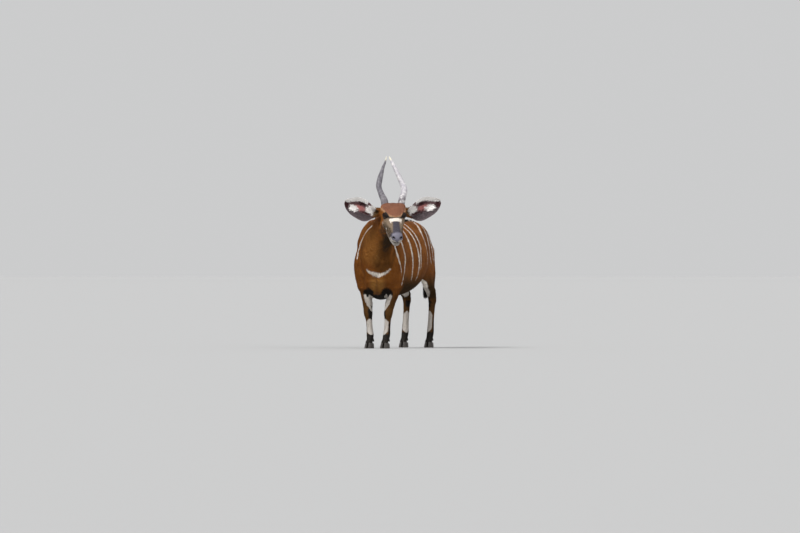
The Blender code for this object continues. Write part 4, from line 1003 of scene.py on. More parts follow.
def coat_material(name, tufted):
    """Chestnut hair with its marks, and with painted light and shade. Tufts and skin share it, and a tuft
    adds a tone of its own.
    """
    n = Nodes(name)
    place = n.place()
    fine = n.noise(n.place((1.0, 0.3, 0.55)), 420.0, 3.0)
    middling = n.ramp(fine, 0.3, 0.7)
    tone = n.mix(n.ramp(n.noise(place, 5.0, 3.0), 0.3, 0.75), CHESTNUT, CHESTNUT_LIGHT)
    tone = n.mix(n.ramp(fine, 0.35, 0.75, 0.0, 0.35), tone, CHESTNUT_DEEP)
    tone = n.mix(n.attribute("shade"), tone, OLIVE_BROWN)
    # Painted highlight on the breast muscles and on the lit side of the neck.
    tone = n.mix(n.attribute("glow"), tone, GOLDEN_HIGHLIGHT)
    tone = n.mix(n.attribute("grey"), tone, n.mix(middling, GREY_TAN, GREY_TAN_LIGHT))
    crown = n.mix(n.ramp(n.noise(place, 150.0, 4.0), 0.42, 0.66), FOREHEAD, FOREHEAD_DEEP)
    tone = n.mix(n.attribute("crown"), tone, crown)
    tone = n.mix(n.attribute("pale"), tone, PALE_TAN)
    # Dark brown: painted shade down the sides of the face and under the jaw, and a dark line of the coat
    # over the white bar.
    blotch = n.math("MULTIPLY", n.attribute("blotch"), n.ramp(n.noise(place, 60.0, 3.0), 0.3, 0.55))
    tone = n.mix(blotch, tone, PATCH_AND_SHADE_BROWN)
    tone = n.mix(n.attribute("slate"), tone, n.mix(middling, SLATE, SLATE_LIGHT))
    ragged = n.swing(n.noise(place, 190.0, 3.0), 0.01)
    ragged = n.math("ADD", ragged, n.swing(n.noise(place, 34.0, 2.0), 0.016))
    dark = n.math("ADD", n.attribute("black"), n.math("MULTIPLY", ragged, 2.0))
    tone = n.mix(n.ramp(dark, -0.006, 0.008), tone, SOOT)
    light = n.math("ADD", n.attribute("white"), ragged)
    # White marks, greyed by painted shadow on the chin and muzzle, and greyer low on the legs.
    tone = n.mix(n.ramp(light, -0.0022, 0.0026), tone, n.mix(n.attribute("dust"), CREAM, GREYED_CREAM))
    # The nose pad: wet skin in a light blue-grey that holds a painted sheen.
    tone = n.mix(n.attribute("pad"), tone, NOSE_SHEEN_GREY)
    # Black skin of the lids, nostrils and mouth, with painted shade round the eyes and in the hollows.
    tone = n.mix(n.attribute("rim"), tone, BLACK_SKIN_AND_SHADE)
    if tufted:
        tone = n.strand_tone(tone, 0.22)
    hair = n.noise(n.place((1.0, 0.16, 0.4), (0.5, 0, 0)), 900.0, 2.0)
    pebbles = n.add("ShaderNodeTexVoronoi", Vector=place, Scale=520.0)
    gloss = n.ramp(n.attribute("pad"), 0.0, 1.0, 0.6, 0.36)
    return n.finish(tone, gloss, 0.16, n.mix(n.attribute("pad"), hair, pebbles), 0.35, 0.0012)


def horn_material():
    """Grey to near white by painted light: the lit horn pale and the horn in shade dark. Blotched and
    specked, with an ivory tip.
    """
    n = Nodes("horn")
    place = n.place()
    along = n.attribute("along")
    worn = n.attribute("worn")
    blotch = n.noise(place, 26.0, 4.0)
    # Painted light: one horn grey, painted dark on the horn in shade and pale on the lit horn.
    body = n.mix(worn, colour(0.09, 0.082, 0.096), colour(0.37, 0.35, 0.38))
    tone = n.mix(n.ramp(along, 0.02, 0.3), colour(0.11, 0.095, 0.105), body)
    light = n.mix(worn, colour(0.18, 0.169, 0.182), colour(0.58, 0.555, 0.55))
    tone = n.mix(n.ramp(blotch, 0.4, 0.68), tone, light)
    speck = n.ramp(n.noise(place, 150.0, 5.0, 0.75), 0.58, 0.68, 0.0, 0.65)
    tone = n.mix(speck, tone, colour(0.085, 0.072, 0.08))
    tone = n.mix(n.ramp(along, 0.88, 0.94), tone, colour(0.62, 0.58, 0.47))
    gloss = n.ramp(blotch, 0.2, 0.8, 0.62, 0.42)
    return n.finish(tone, gloss, 0.4, n.noise(place, 340.0, 4.0), 0.35, 0.0016)


def ear_material(hairy):
    """Chestnut behind; inside, dusky skin with a white rim and patches, a dark hollow and tip."""
    n = Nodes("ear_hair" if hairy else "ear")
    place = n.place()
    patch = n.noise(place, 70.0, 4.0)
    wavy = n.swing(patch, 0.06)
    dusky = n.mix(n.attribute("low"), colour(0.19, 0.105, 0.11), colour(0.095, 0.072, 0.078))
    dusky = n.mix(n.ramp(patch, 0.35, 0.65, 0.0, 0.5), dusky, colour(0.03, 0.02, 0.02))
    inside = n.mix(n.attribute("pink"), dusky, colour(0.52, 0.205, 0.19))
    for name, tone in (("light", colour(0.95, 0.92, 0.89)), ("dim", colour(0.045, 0.012, 0.014))):
        inside = n.mix(n.ramp(n.math("ADD", n.attribute(name), wavy), -0.004, 0.004), inside, tone)
    inside = n.mix(n.attribute("root"), inside, colour(0.17, 0.09, 0.03))
    back = n.mix(n.ramp(n.attribute("along"), 0.35, 0.9), CHESTNUT, colour(0.05, 0.024, 0.01))
    tone = n.mix(n.attribute("behind"), inside, back)
    if hairy:
        tone = n.strand_tone(tone, 0.25)
    return n.finish(tone, 0.72, 0.25, n.noise(place, 480.0, 3.0), 0.4, 0.001)


def eye_material():
    """Near black, with a dark brown ring round a level oval pupil."""
    n = Nodes("eye")
    wide = n.attribute("wide")
    tall = n.math("MULTIPLY", n.attribute("tall"), 1.9)
    far = n.math("SQRT", n.math("ADD", n.math("MULTIPLY", wide, wide), n.math("MULTIPLY", tall, tall)))
    streaks = n.ramp(n.noise(n.place(), 600.0, 3.0), 0.35, 0.65)
    iris = n.mix(streaks, colour(0.012, 0.006, 0.004), colour(0.03, 0.013, 0.006))
    tone = n.mix(n.ramp(far, 0.4, 0.48), colour(0.003, 0.003, 0.004), iris)
    tone = n.mix(n.ramp(n.attribute("front"), 0.66, 0.56), tone, colour(0.012, 0.009, 0.008))
    return n.finish(tone, 0.1, 0.2)


def hoof_material():
    """Black horn with the rings of its growth, and a worn edge at the sole."""
    n = Nodes("hoof")
    rings = n.noise(n.place((1.0, 1.0, 7.0)), 60.0, 3.0)
    tone = n.mix(n.ramp(rings, 0.35, 0.7), colour(0.018, 0.015, 0.013), colour(0.06, 0.05, 0.044))
    tone = n.mix(n.ramp(n.attribute("along"), 0.14, 0.0), tone, colour(0.11, 0.09, 0.072))
    return n.finish(tone, 0.5, 0.4, rings, 0.3, 0.0012)


# Tufts of hair, each a closed, tapered body, joined by the thousand

TRUNK_LINE = [
    (0, 0.75, 0.95), (0, -0.3, 0.85), (0.02, -0.52, 0.92), (0.11, -0.655, 1.085), (0.232, -0.748, 1.248),
]
PATCH = 0.003
BODY_HAIR = 0.0165
BODY_HAIR_HALF = 0.002
LEG_HAIR = 0.0095
FOOT_HAIR = 0.0058
HAIR_ROOT = 0.0008
LEGS_TOP_Z = 0.6


def unit(vectors):
    return vectors / np.maximum(np.linalg.norm(vectors, axis=-1, keepdims=True), 1e-9)


def around(points, line):
    """Share along a line and share of a turn round it, for each point."""
    rows = np.array(line, float)
    lengths = np.linalg.norm(np.diff(rows, axis=0), axis=1)
    best = np.full(len(points), 1e9)
    along = np.zeros(len(points))
    off = np.zeros((len(points), 3))
    done = 0.0
    for here, there, length in zip(rows[:-1], rows[1:], lengths):
        way = (there - here) / length
        t = np.clip((points - here) @ way, 0, length)
        gap = points - here - t[:, None] * way
        far = np.linalg.norm(gap, axis=1)
        nearer = far < best
        best[nearer] = far[nearer]
        off[nearer] = gap[nearer]
        along[nearer] = (done + t[nearer]) / lengths.sum()
        done += length
    flat = unit(rows[-1] - rows[0])
    side = unit(np.cross(flat, (0.3, 0.1, 1.0) if abs(flat[2]) < 0.7 else (0.1, 1.0, 0.2)))
    other = np.cross(side, flat)
    turn = np.arctan2(off @ side, off @ other) / (2 * math.pi) + 0.5
    return along, turn


def region_of(points, head):
    """0 trunk and neck, 1 head, 2 and 3 the left and right foreleg, 4 and 5 the left and right hind leg."""
    local = to_axes(points, head)
    x, y, z = points.T
    region = np.where(z < LEGS_TOP_Z, 2 + 2 * (y >= 0) + (x <= 0), 0)
    region[(local[:, 1] < 0.085) & (local[:, 2] > -0.26)] = 1
    return region


def unwrap(points, head):
    """Where each point lies on a flat layout of the skin: one chart for each region."""
    nose = [head @ Vector((0, y, -0.1)) for y in (0.1, -0.2, -0.42)]
    charts = [(TRUNK_LINE, (0.01, 0.61), (0.01, 0.7)), (nose, (0.64, 0.98), (0.01, 0.44))]
    left_edge = 0.64
    for axis, foot_x, foot_y in (FORE_PLACE, HIND_PLACE):
        for side in (1, -1):
            line = [(side * (foot_x + out), foot_y[side] + back, z) for z, out, back in axis]
            charts.append((line, (left_edge, left_edge + 0.075), (0.47, 0.98)))
            left_edge += 0.085
    region = region_of(points, head)
    flat = np.zeros((len(points), 2))
    for k, (line, wide, tall) in enumerate(charts):
        here = region == k
        if here.any():
            along, turn = around(points[here], line)
            if k > 1:
                along, turn = turn, along
            flat[here, 0] = wide[0] + along * (wide[1] - wide[0])
            flat[here, 1] = tall[0] + turn * (tall[1] - tall[0])
    return flat


def strands(name, centres, side, up, halves, thick, flat, wear, material):
    """A piece of closed strands. centres has the middle of each ring and then the tip, for each strand."""
    count, rings = halves.shape
    size = 3 * rings + 1
    points = np.empty((count, size, 3))
    spread = np.empty((size, 2))
    faces = [(0, 1, 2)]
    for k in range(rings):
        a, b, c = 3 * k, 3 * k + 1, 3 * k + 2
        middle = centres[:, k]
        points[:, a] = middle - side * halves[:, k, None]
        points[:, b] = middle + side * halves[:, k, None]
        points[:, c] = middle + up * thick[:, k, None]
        spread[a : c + 1] = np.array([(0, k), (rings, k), (rings / 2, k)]) / rings
        if k < rings - 1:
            d, e, f = a + 3, b + 3, c + 3
            faces += [(a, d, e), (a, e, b), (a, c, f), (a, f, d), (b, e, f), (b, f, c)]
    tip = size - 1
    points[:, tip] = centres[:, -1]
    spread[tip] = (0.5, 1)
    faces += [(a, tip, b), (a, c, tip), (b, tip, c)]
    corners = (np.array(faces)[None] + size * np.arange(count)[:, None, None]).reshape(-1)
    mesh = bpy.data.meshes.new(name)
    mesh.vertices.add(count * size)
    mesh.vertices.foreach_set("co", (points + np.array(SHIFT)).reshape(-1).astype(np.float32))
    mesh.loops.add(len(corners))
    mesh.loops.foreach_set("vertex_index", corners.astype(np.int32))
    mesh.polygons.add(len(corners) // 3)
    mesh.polygons.foreach_set("loop_start", np.arange(0, len(corners), 3, dtype=np.int32))
    mesh.update(calc_edges=True)
    patch = flat[:, None] + (spread[None] - 0.5) * PATCH
    layer = mesh.uv_layers.new(name="OFBake")
    layer.uv.foreach_set("vector", patch.reshape(-1, 2)[corners].astype(np.float32).reshape(-1))
    store(mesh, **{key: np.repeat(values, size) for key, values in wear.items()})
    mesh.shade_smooth()
    mesh.materials.append(material)
    obj = linked(name, mesh)
    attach(obj, "root")
    return obj


def lie_of(points, normals, head):
    """The way the hair lies: back and down the body, down the neck and legs, back along the face."""
    x, y, z = points.T
    local = to_axes(points, head)
    back = np.array(head.to_3x3()) @ np.array((0.0, 1.0, -0.1))
    way = np.tile((0.0, 1.0, -0.55), (len(points), 1))
    way[:, 2] -= 0.5 * soft(-z, -0.8, -0.6)
    for share, other in (
        (soft(-y, 0.42, 0.6), (0.0, 0.15, -1.0)),
        (soft(-y, 0.5, 0.68) * soft(z, 0.85, 1.0), (-0.45, 0.4, -0.8)),
        (soft(-z, -0.66, -0.52), (0.0, 0.12, -1.0)),
        (soft(-local[:, 1], -0.12, -0.02) * soft(local[:, 2], -0.3, -0.22), back),
    ):
        way = way * (1 - share[:, None]) + np.array(other) * share[:, None]
    way = way - normals * (way * normals).sum(1, keepdims=True)
    return unit(way)


def roots_on(mesh, weights, count):
    """Random places on a triangle mesh, as many as asked, thicker where the weights are high."""
    points = read(mesh, "co")
    normals = read(mesh, "normal")
    corners = np.empty(len(mesh.loops), np.int32)
    mesh.loops.foreach_get("vertex_index", corners)
    corners = corners.reshape(-1, 3)
    a, b, c = (points[corners[:, k]] for k in range(3))
    area = np.linalg.norm(np.cross(b - a, c - a), axis=1) / 2
    odds = area * weights[corners].mean(1)
    pick = np.sort(chance.choice(len(corners), count, p=odds / odds.sum()))
    u = np.sqrt(chance.random(count))[:, None]
    v = chance.random(count)[:, None]
    share = np.concatenate([1 - u, u * (1 - v), u * v], 1)[:, :, None]
    places = (points[corners[pick]] * share).sum(1)
    return places, unit((normals[corners[pick]] * share).sum(1))


def hair_size(points, head):
    """Length and half width of a tuft at each point, least on the face and the feet."""
    local = to_axes(points, head)
    z = points[:, 2]
    face = soft(-local[:, 1], -0.1, 0.06) * soft(local[:, 2], -0.3, -0.22)
    leg = soft(-z, -0.6, -0.35)
    under = soft(-z, -0.66, -0.5) * (1 - leg)
    length = BODY_HAIR + 0.008 * under
    length = length + (LEG_HAIR - length) * np.maximum(leg, face)
    least_hair = np.maximum(soft(-z, -0.2, -0.08), soft(-local[:, 1], 0.1, 0.24) * face)
    length = length + (FOOT_HAIR - length) * least_hair
    return length, BODY_HAIR_HALF * (length / BODY_HAIR) ** 0.8


def coat(skin, head, name, weights, count, material):
    """One tuft a root, each lying along the skin with a little spread, and its tip a little off it."""
    places, normals = roots_on(skin, weights, count)
    way = lie_of(places, normals, head)
    side = unit(np.cross(way, normals))
    way = unit(way + side * chance.normal(0, 0.16, (count, 1)))
    side = unit(np.cross(way, normals))
    length, half = hair_size(places, head)
    length = length * chance.uniform(0.75, 1.25, count)
    rise = 0.16 * chance.uniform(0.6, 1.5, count) * length
    tips = places + way * length[:, None] + normals * rise[:, None]
    centres = np.stack([places - normals * HAIR_ROOT, tips], 1)
    wear = marks(places, head)
    wear["strand"] = chance.random(count)
    halves = half[:, None]
    thick = halves * 0.6 + 0.0008
    strands(name, centres, side, normals, halves, thick, unwrap(places, head), wear, material)


# Horns, ears, eyes, hooves, crest and tail

def lofted(name, rings, closed_tip=False):
    """A closed body through rings of points, with flat ends, or a last ring drawn to one point."""
    sides = len(rings[0])
    points = [p for ring in rings for p in ring]
    faces = [
        (i * sides + j, i * sides + (j + 1) % sides, (i + 1) * sides + (j + 1) % sides, (i + 1) * sides + j)
        for i in range(len(rings) - 1)
        for j in range(sides)
    ]
    faces.append(tuple(range(sides))[::-1])
    last = (len(rings) - 1) * sides
    if closed_tip:
        points.append(tuple(np.mean([list(p) for p in rings[-1]], axis=0)))
        faces += [(last + j, last + (j + 1) % sides, len(points) - 1) for j in range(sides)]
    else:
        faces.append(tuple(last + j for j in range(sides)))
    return mesh_object(name, points, faces)


def set_piece(obj, material, slot, *nodes, angle=180.0):
    """Moves a piece to its place, and gives it its material, its body and the nodes it stands for."""
    obj.data.transform(Matrix.Translation(SHIFT))
    obj.data.materials.clear()
    obj.data.materials.append(material)
    obj.data.shade_smooth()
    if angle < 180.0:
        obj.data.set_sharp_from_angle(angle=math.radians(angle))
    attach(obj, "root")
    if nodes:
        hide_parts(*nodes)
    return obj


HORN_LINES = {
    # share of the chord, out to the side, out of the forehead, width
    1: [
        (-0.03, 0.072, -0.034, 0.022),
        (-0.01, 0.0731, -0.029, 0.032),
        (0.044, 0.0795, -0.018, 0.034),
        (0.123, 0.0913, -0.013, 0.034),
        (0.217, 0.1087, -0.019, 0.0325),
        (0.308, 0.1233, -0.022, 0.0305),
        (0.394, 0.1261, -0.022, 0.029),
        (0.473, 0.1166, -0.017, 0.027),
        (0.546, 0.1016, -0.009, 0.0248),
        (0.62, 0.0875, -0.001, 0.0222),
        (0.773, 0.0569, 0.012, 0.017),
        (0.854, 0.043, 0.015, 0.0137),
        (0.939, 0.0298, 0.016, 0.0088),
        (1.0, 0.0215, 0.015, 0.0034),
    ],
    -1: [
        (-0.03, 0.075, -0.034, 0.022),
        (-0.01, 0.0765, -0.029, 0.0325),
        (0.044, 0.0778, -0.018, 0.0345),
        (0.123, 0.0818, -0.013, 0.033),
        (0.217, 0.0942, -0.019, 0.0295),
        (0.353, 0.1072, -0.024, 0.0262),
        (0.434, 0.1085, -0.021, 0.026),
        (0.5, 0.0993, -0.014, 0.0262),
        (0.583, 0.085, -0.005, 0.0235),
        (0.675, 0.0676, 0.005, 0.018),
        (0.773, 0.0486, 0.012, 0.0132),
        (0.875, 0.0242, 0.015, 0.0092),
        (1.0, 0.0035, 0.015, 0.0034),
    ],
}


def horn(side, word, head, material):
    """A horn with one open twist, a keel that winds round it and the swellings of its growth."""
    sides = 40
    rings = []
    shares = []
    for share, x, z, width in smooth_path(HORN_LINES[side], 9):
        turn = math.radians(200) + share * math.radians(230)
        if side < 0:
            turn = math.pi - turn
        grown_out = min(1.0, max(0.0, share / 0.12))
        swell = 0.016 * math.sin(150 * share + 2.5 * math.sin(19 * share)) * (1 - share) ** 1.5
        middle = Vector((side * x, share * HORN_CHORD, z - 0.018))
        ring = []
        for k in range(sides):
            angle = 2 * math.pi * k / sides
            keel = 0.22 * math.exp(-((math.cos(angle - turn) - 1) ** 2) / 0.02)
            groove = 0.09 * math.exp(-((math.cos(angle - turn - 1.1 * side) - 1) ** 2) / 0.02)
            flute = 0.012 * math.sin(9 * (angle - turn)) * (1 - share)
            radius = width * (1 + grown_out * (keel - groove + flute) + swell)
            ring.append(head @ (middle + Vector((radius * math.cos(angle), 0, radius * math.sin(angle)))))
        rings.append(ring)
        shares += [share] * sides
    obj = lofted("horn_" + word + "_grown", rings, closed_tip=True)
    # Painted light: 1 on the lit left horn, 0 on the right horn in shade.
    store(obj.data, along=shares + [1.0], worn=[0.5 + 0.5 * side] * (len(shares) + 1))
    return set_piece(obj, material, "horn", "horn_" + word, angle=60.0)


EAR_RIMS = [
    # share of the length, upper rim, lower rim, depth of the cup
    (0.0, 0.024, -0.05, 0.034),
    (0.08, 0.019, -0.074, 0.042),
    (0.16, 0.018, -0.101, 0.05),
    (0.26, 0.026, -0.128, 0.056),
    (0.36, 0.042, -0.141, 0.058),
    (0.46, 0.056, -0.14, 0.056),
    (0.56, 0.061, -0.134, 0.052),
    (0.67, 0.057, -0.125, 0.045),
    (0.78, 0.043, -0.111, 0.036),
    (0.88, 0.024, -0.088, 0.026),
    (0.95, 0.009, -0.062, 0.018),
    (1.0, -0.006, -0.034, 0.011),
]


def ear_root(side, head):
    x, y, z = EAR_ROOT
    return head @ Vector((side * x, y, z))


def ear_axes(side, head):
    """Along the ear, across it toward its upper rim, and out of its back."""
    left = head.to_3x3() @ Vector((1, 0, 0))
    back = Vector((-math.sin(HEAD_TURN), math.cos(HEAD_TURN), 0))
    along = left * side * math.cos(EAR_RISE) + Vector((0, 0, math.sin(EAR_RISE))) + back * 0.1
    along.normalize()
    above = (Vector((0, 0, 1)) - along * along.z).normalized()
    behind = along.cross(above)
    return along, above, behind if behind.dot(back) > 0 else -behind


EAR_TABLE = smooth_path(EAR_RIMS, 6)
# Ovals inside the ear: middle along it, middle height, half length and half height.
EAR_WHITE = [(0.076, -0.022, 0.062, 0.047), (0.262, -0.052, 0.056, 0.03)]
EAR_DARK = [(0.19, 0.012, 0.046, 0.017), (0.115, -0.062, 0.085, 0.011)]


def ear_section(share, v):
    """Height and depth in the section of the ear, which is rolled into a tube at its root."""
    upper, lower, depth = (float(np.interp(share, EAR_TABLE[:, 0], EAR_TABLE[:, c])) for c in (1, 2, 3))
    rolled = 1 - min(1.0, max(0.0, share / EAR_OPEN))
    rolled = rolled * rolled * (3 - 2 * rolled)
    angle = v * math.radians(160)
    half = (upper - lower) / 2
    height = (upper + lower) / 2 + half * (rolled * math.sin(angle) + (1 - rolled) * v)
    open_depth = depth * (1 - v * v) - 0.012
    return height, rolled * 0.9 * half * math.cos(angle) + (1 - rolled) * open_depth


def ear_point(root, axes, side, share, v):
    along, above, behind = axes
    height, depth = ear_section(share, v)
    ribs = 0.0016 * math.sin(26 * v) * math.sin(math.pi * min(1, share)) * (1 - v * v)
    return root + along * (share * EAR_LENGTH[side]) + above * height + behind * (depth + ribs)


def ear(side, word, head, material):
    """A broad leaf, cupped and open to the front, with soft ribs inside and a thin rolled rim."""
    axes = ear_axes(side, head)
    root = ear_root(side, head)
    along, above, behind = axes
    steps = 44
    across = 30
    rings = []
    shares = []
    spans = []
    faces_out = []
    for i in range(steps + 1):
        share = -0.13 + 1.13 * i / steps
        inner = []
        outer = []
        line = [ear_section(max(share, 0), -1 + 2 * j / across) for j in range(across + 1)]
        for j in range(across + 1):
            v = -1 + 2 * j / across
            before = line[max(j - 1, 0)]
            after = line[min(j + 1, across)]
            slope = Vector((after[0] - before[0], after[1] - before[1])).normalized()
            thick = 0.0016 + 0.0045 * (1 - v * v)
            place = ear_point(root, axes, side, max(share, 0), v)
            place = place + along * (min(share, 0) * EAR_LENGTH[side])
            inner.append(place)
            outer.append(place + (above * -slope.y + behind * slope.x) * thick)
        rings.append(inner + outer[::-1])
        span = [-1 + 2 * j / across for j in range(across + 1)]
        shares += [share] * (2 * across + 2)
        spans += span + span[::-1]
        faces_out += [0.0] * (across + 1) + [1.0] * (across + 1)
    obj = lofted("ear_" + word + "_grown", rings)
    store(obj.data, along=shares, behind=faces_out, **ear_marks(np.array(shares), np.array(spans)))
    return set_piece(obj, material, "ear_skin", "ear_" + word, angle=75.0)


def ear_marks(share, v):
    """Where the ear is white, dark or pink, from its length and from edge to edge."""
    upper, lower = (np.interp(share, EAR_TABLE[:, 0], EAR_TABLE[:, c]) for c in (1, 2))
    high = (upper + lower) / 2 + (upper - lower) / 2 * v
    far = share * EAR_LENGTH[1]
    band = np.where(share > 0.36, 0.038 - (upper - high), -0.05)
    patches = most(*[oval(far, high, *row) for row in EAR_WHITE])
    hollow = most(*[oval(far, high, *row) for row in EAR_DARK])
    tip = oval(far, high, 0.338, -0.046, 0.034, 0.032)
    return {
        "light": np.clip(np.maximum(band, patches), -0.05, 0.05),
        "dim": np.clip(np.maximum(hollow, tip), -0.05, 0.05),
        "pink": soft(oval(far, high, 0.2, -0.032, 0.055, 0.026), -0.012, 0.01),
        "low": soft(-high, 0.04, 0.085),
        "root": soft(-share, -0.12, -0.06),
    }


def ear_hair(side, word, head, material, count=4300):
    """Hair along both rims, over the inside of the ear and thick at its root."""
    axes = ear_axes(side, head)
    along, above, behind = (np.array(a) for a in axes)
    root = ear_root(side, head)
    kind = chance.random(count)
    share = np.where(kind > 0.84, chance.uniform(0.0, 0.13, count), chance.uniform(0.1, 0.985, count))
    v = np.where(kind < 0.26, chance.uniform(0.9, 1.0, count), chance.uniform(-0.96, 0.92, count))
    v = np.where((kind > 0.26) & (kind < 0.4), chance.uniform(-1.0, -0.92, count), v)
    rim = np.abs(v) > 0.89
    places = np.array([ear_point(root, axes, side, s, c) for s, c in zip(share, v)])
    ahead = np.array([ear_point(root, axes, side, s + 0.01, c) for s, c in zip(share, v)])
    aside = np.array([ear_point(root, axes, side, s, c + 0.01) for s, c in zip(share, v)])
    out = unit(ahead - places)
    wide = unit(aside - places)
    normal = unit(np.cross(out, wide))
    normal *= np.sign((normal * -behind).sum(1, keepdims=True))
    sweep = np.where(rim, np.sign(v) * 0.55, -0.25 * np.sign(v))[:, None]
    way = unit(out + wide * sweep + normal * np.where(rim, 0.15, 0.3)[:, None])
    length = np.where(rim, 0.009, 0.023) * chance.uniform(0.7, 1.3, count) * (1 - 0.35 * share)
    length = np.where(kind > 0.84, length * 1.5, length)
    half = np.full(count, 0.0011)
    steps = np.array((0.0, 0.35, 0.7, 1.0))
    centres = places[:, None] + way[:, None] * (length[:, None] * steps)[:, :, None]
    centres -= normal[:, None] * 0.0008
    centres += wide[:, None] * (sweep[:, None] * 0.3 * length[:, None, None] * (steps**2)[None, :, None])
    halves = half[:, None] * np.array((1.0, 0.85, 0.5))
    strand_side = unit(np.cross(way, normal))
    flat = np.stack([0.02 + 0.28 * share, 0.86 + 0.06 * v], 1)
    if side < 0:
        flat[:, 0] += 0.3
    wear = {"along": share, "behind": np.zeros(count), "strand": chance.random(count), **ear_marks(share, v)}
    strands("ear_hair_" + word, centres, strand_side, normal, halves, halves * 0.5, flat, wear, material)


def ear_back_hair(side, word, head, material, count=6000):
    """Short flat hair over the back of the ear, from the root toward the tip."""
    axes = ear_axes(side, head)
    root = ear_root(side, head)
    share = 0.97 * chance.random(count) ** 1.35 - 0.02
    v = chance.uniform(-0.99, 0.99, count)
    rows = [(max(s, 0), c) for s, c in zip(share, v)]
    places = np.array([ear_point(root, axes, side, s, c) for s, c in rows])
    out = unit(np.array([ear_point(root, axes, side, s + 0.01, c) for s, c in rows]) - places)
    wide = unit(np.array([ear_point(root, axes, side, s, c + 0.01) for s, c in rows]) - places)
    normal = unit(np.cross(out, wide))
    middle = np.abs(v) < 0.2
    normal *= np.sign((normal[middle] @ np.array(axes[2])).mean())
    places += normal * (0.0014 + 0.0045 * (1 - v * v))[:, None]
    way = unit(out + wide * chance.normal(0, 0.15, (count, 1)))
    length = chance.uniform(0.009, 0.015, count)
    centres = np.stack([places, places + way * length[:, None] + normal * (0.12 * length)[:, None]], 1)
    halves = np.full((count, 1), 0.0015)
    flat = np.stack([0.02 + 0.28 * np.clip(share, 0, 1), 0.8 + 0.05 * v], 1)
    if side < 0:
        flat[:, 0] += 0.3
    none = {name: np.zeros(count) for name in ("pink", "low", "root")}
    none["light"] = none["dim"] = np.full(count, -0.05)
    wear = {"along": share, "behind": np.ones(count), "strand": chance.random(count), **none}
    strand_side = unit(np.cross(way, normal))
    strands("ear_back_" + word, centres, strand_side, normal, halves, halves * 0.6, flat, wear, material)


def eye(side, word, head, material):
    """A dark eyeball with a low bulge of cornea in front."""
    bm = bmesh.new()
    bmesh.ops.create_uvsphere(bm, u_segments=56, v_segments=36, radius=EYE_RADIUS)
    gaze = eye_gaze(side)
    turn = gaze.to_track_quat("Z", "Y").to_matrix().to_4x4()
    values = []
    for vert in bm.verts:
        front = vert.co.z / EYE_RADIUS
        values.append((front, vert.co.x / EYE_RADIUS, vert.co.y / EYE_RADIUS))
        if front > 0.8:
            vert.co *= 1 + 0.035 * soft(front, 0.8, 0.96)
    bm.transform(head @ Matrix.Translation(eye_centre(side)) @ turn)
    obj = linked("eye_" + word + "_wet", mesh_of(bm, "eye"))
    front, wide, tall = np.array(values).T
    store(obj.data, front=front, wide=wide, tall=tall)
    return set_piece(obj, material, "eye", "eye_" + word)


def claw(name, foot_x, foot_y, out, material, node):
    """Half of a cloven hoof, with a rounded edge at the sole and the rings of its growth."""
    sides = 44
    rings = []
    levels = [0.0, 0.004, 0.015, 0.035]
    levels += [0.035 + 0.965 * k / 18 for k in range(1, 19)]
    heights = []
    for level in levels:
        scale = float(np.interp(level, (0.0, 0.035, 0.1, 0.55, 1.0), (0.925, 0.965, 1.0, 0.93, 0.84)))
        scale *= 1 + 0.004 * math.sin(level * 55)
        ring = []
        for k in range(sides):
            angle = 2 * math.pi * k / sides
            forward = math.cos(angle)
            taper = 1 - 0.42 * max(0.0, forward) ** 2
            across = CLAW_WIDTH * 0.5 * (1 + math.sin(angle)) * taper
            x = foot_x + out * (CLAW_CLEFT + across * scale)
            y = foot_y - CLAW_LENGTH * 0.5 * scale * forward + CLAW_RAKE * level
            top = CORONET_Z + CORONET_SLOPE * (foot_y - y)
            ring.append((x, y, level * top))
            heights.append(level)
        rings.append(ring)
    obj = lofted(name, rings)
    store(obj.data, along=heights)
    return set_piece(obj, material, "hoof", node, angle=50.0)


def dewclaw(name, foot_x, foot_y, out, material, node):
    """The small horn behind the fetlock."""
    root = Vector((foot_x + out * 0.012, foot_y + 0.018, 0.1))
    tip = Vector((foot_x + out * 0.018, foot_y + 0.05, 0.066))
    rings = []
    heights = []
    for k in range(11):
        t = k / 10
        radius = float(np.interp(t, (0.0, 0.45, 0.8, 0.93, 1.0), (0.0125, 0.0125, 0.0092, 0.0058, 0.0015)))
        middle = root.lerp(tip, t)
        ring = []
        for j in range(20):
            angle = 2 * math.pi * j / 20
            ring.append(middle + Vector((radius * math.cos(angle), 0, radius * math.sin(angle))))
            heights.append(1 - t)
        rings.append(ring)
    obj = lofted(name, rings)
    store(obj.data, along=heights)
    return set_piece(obj, material, "hoof", node, angle=60.0)


TAIL_LINE = [
    (0, 0.7, 1.06, 0.034, 0.03),
    (0, 0.77, 1.045, 0.028, 0.026),
    (0, 0.822, 0.96, 0.019, 0.018),
    (0, 0.832, 0.84, 0.014, 0.014),
    (0, 0.828, 0.74, 0.013, 0.013),
    (0, 0.824, 0.66, 0.019, 0.017),
    (0, 0.822, 0.59, 0.02, 0.017),
    (0, 0.824, 0.52, 0.005, 0.004),
]
TUFT_TOP_Z = 0.715
TUFT_BOTTOM_Z = 0.56


def tail_marks(z):
    names = ("shade", "glow", "crown", "pale", "grey", "blotch", "slate", "dust", "pad", "rim")
    wear = {name: np.zeros(len(z)) for name in names}
    wear["white"] = np.full(len(z), -0.05)
    wear["black"] = np.clip(0.735 - z, -0.05, 0.05)
    wear["shade"] = 0.35 * soft(-z, -0.95, -0.75)
    return wear


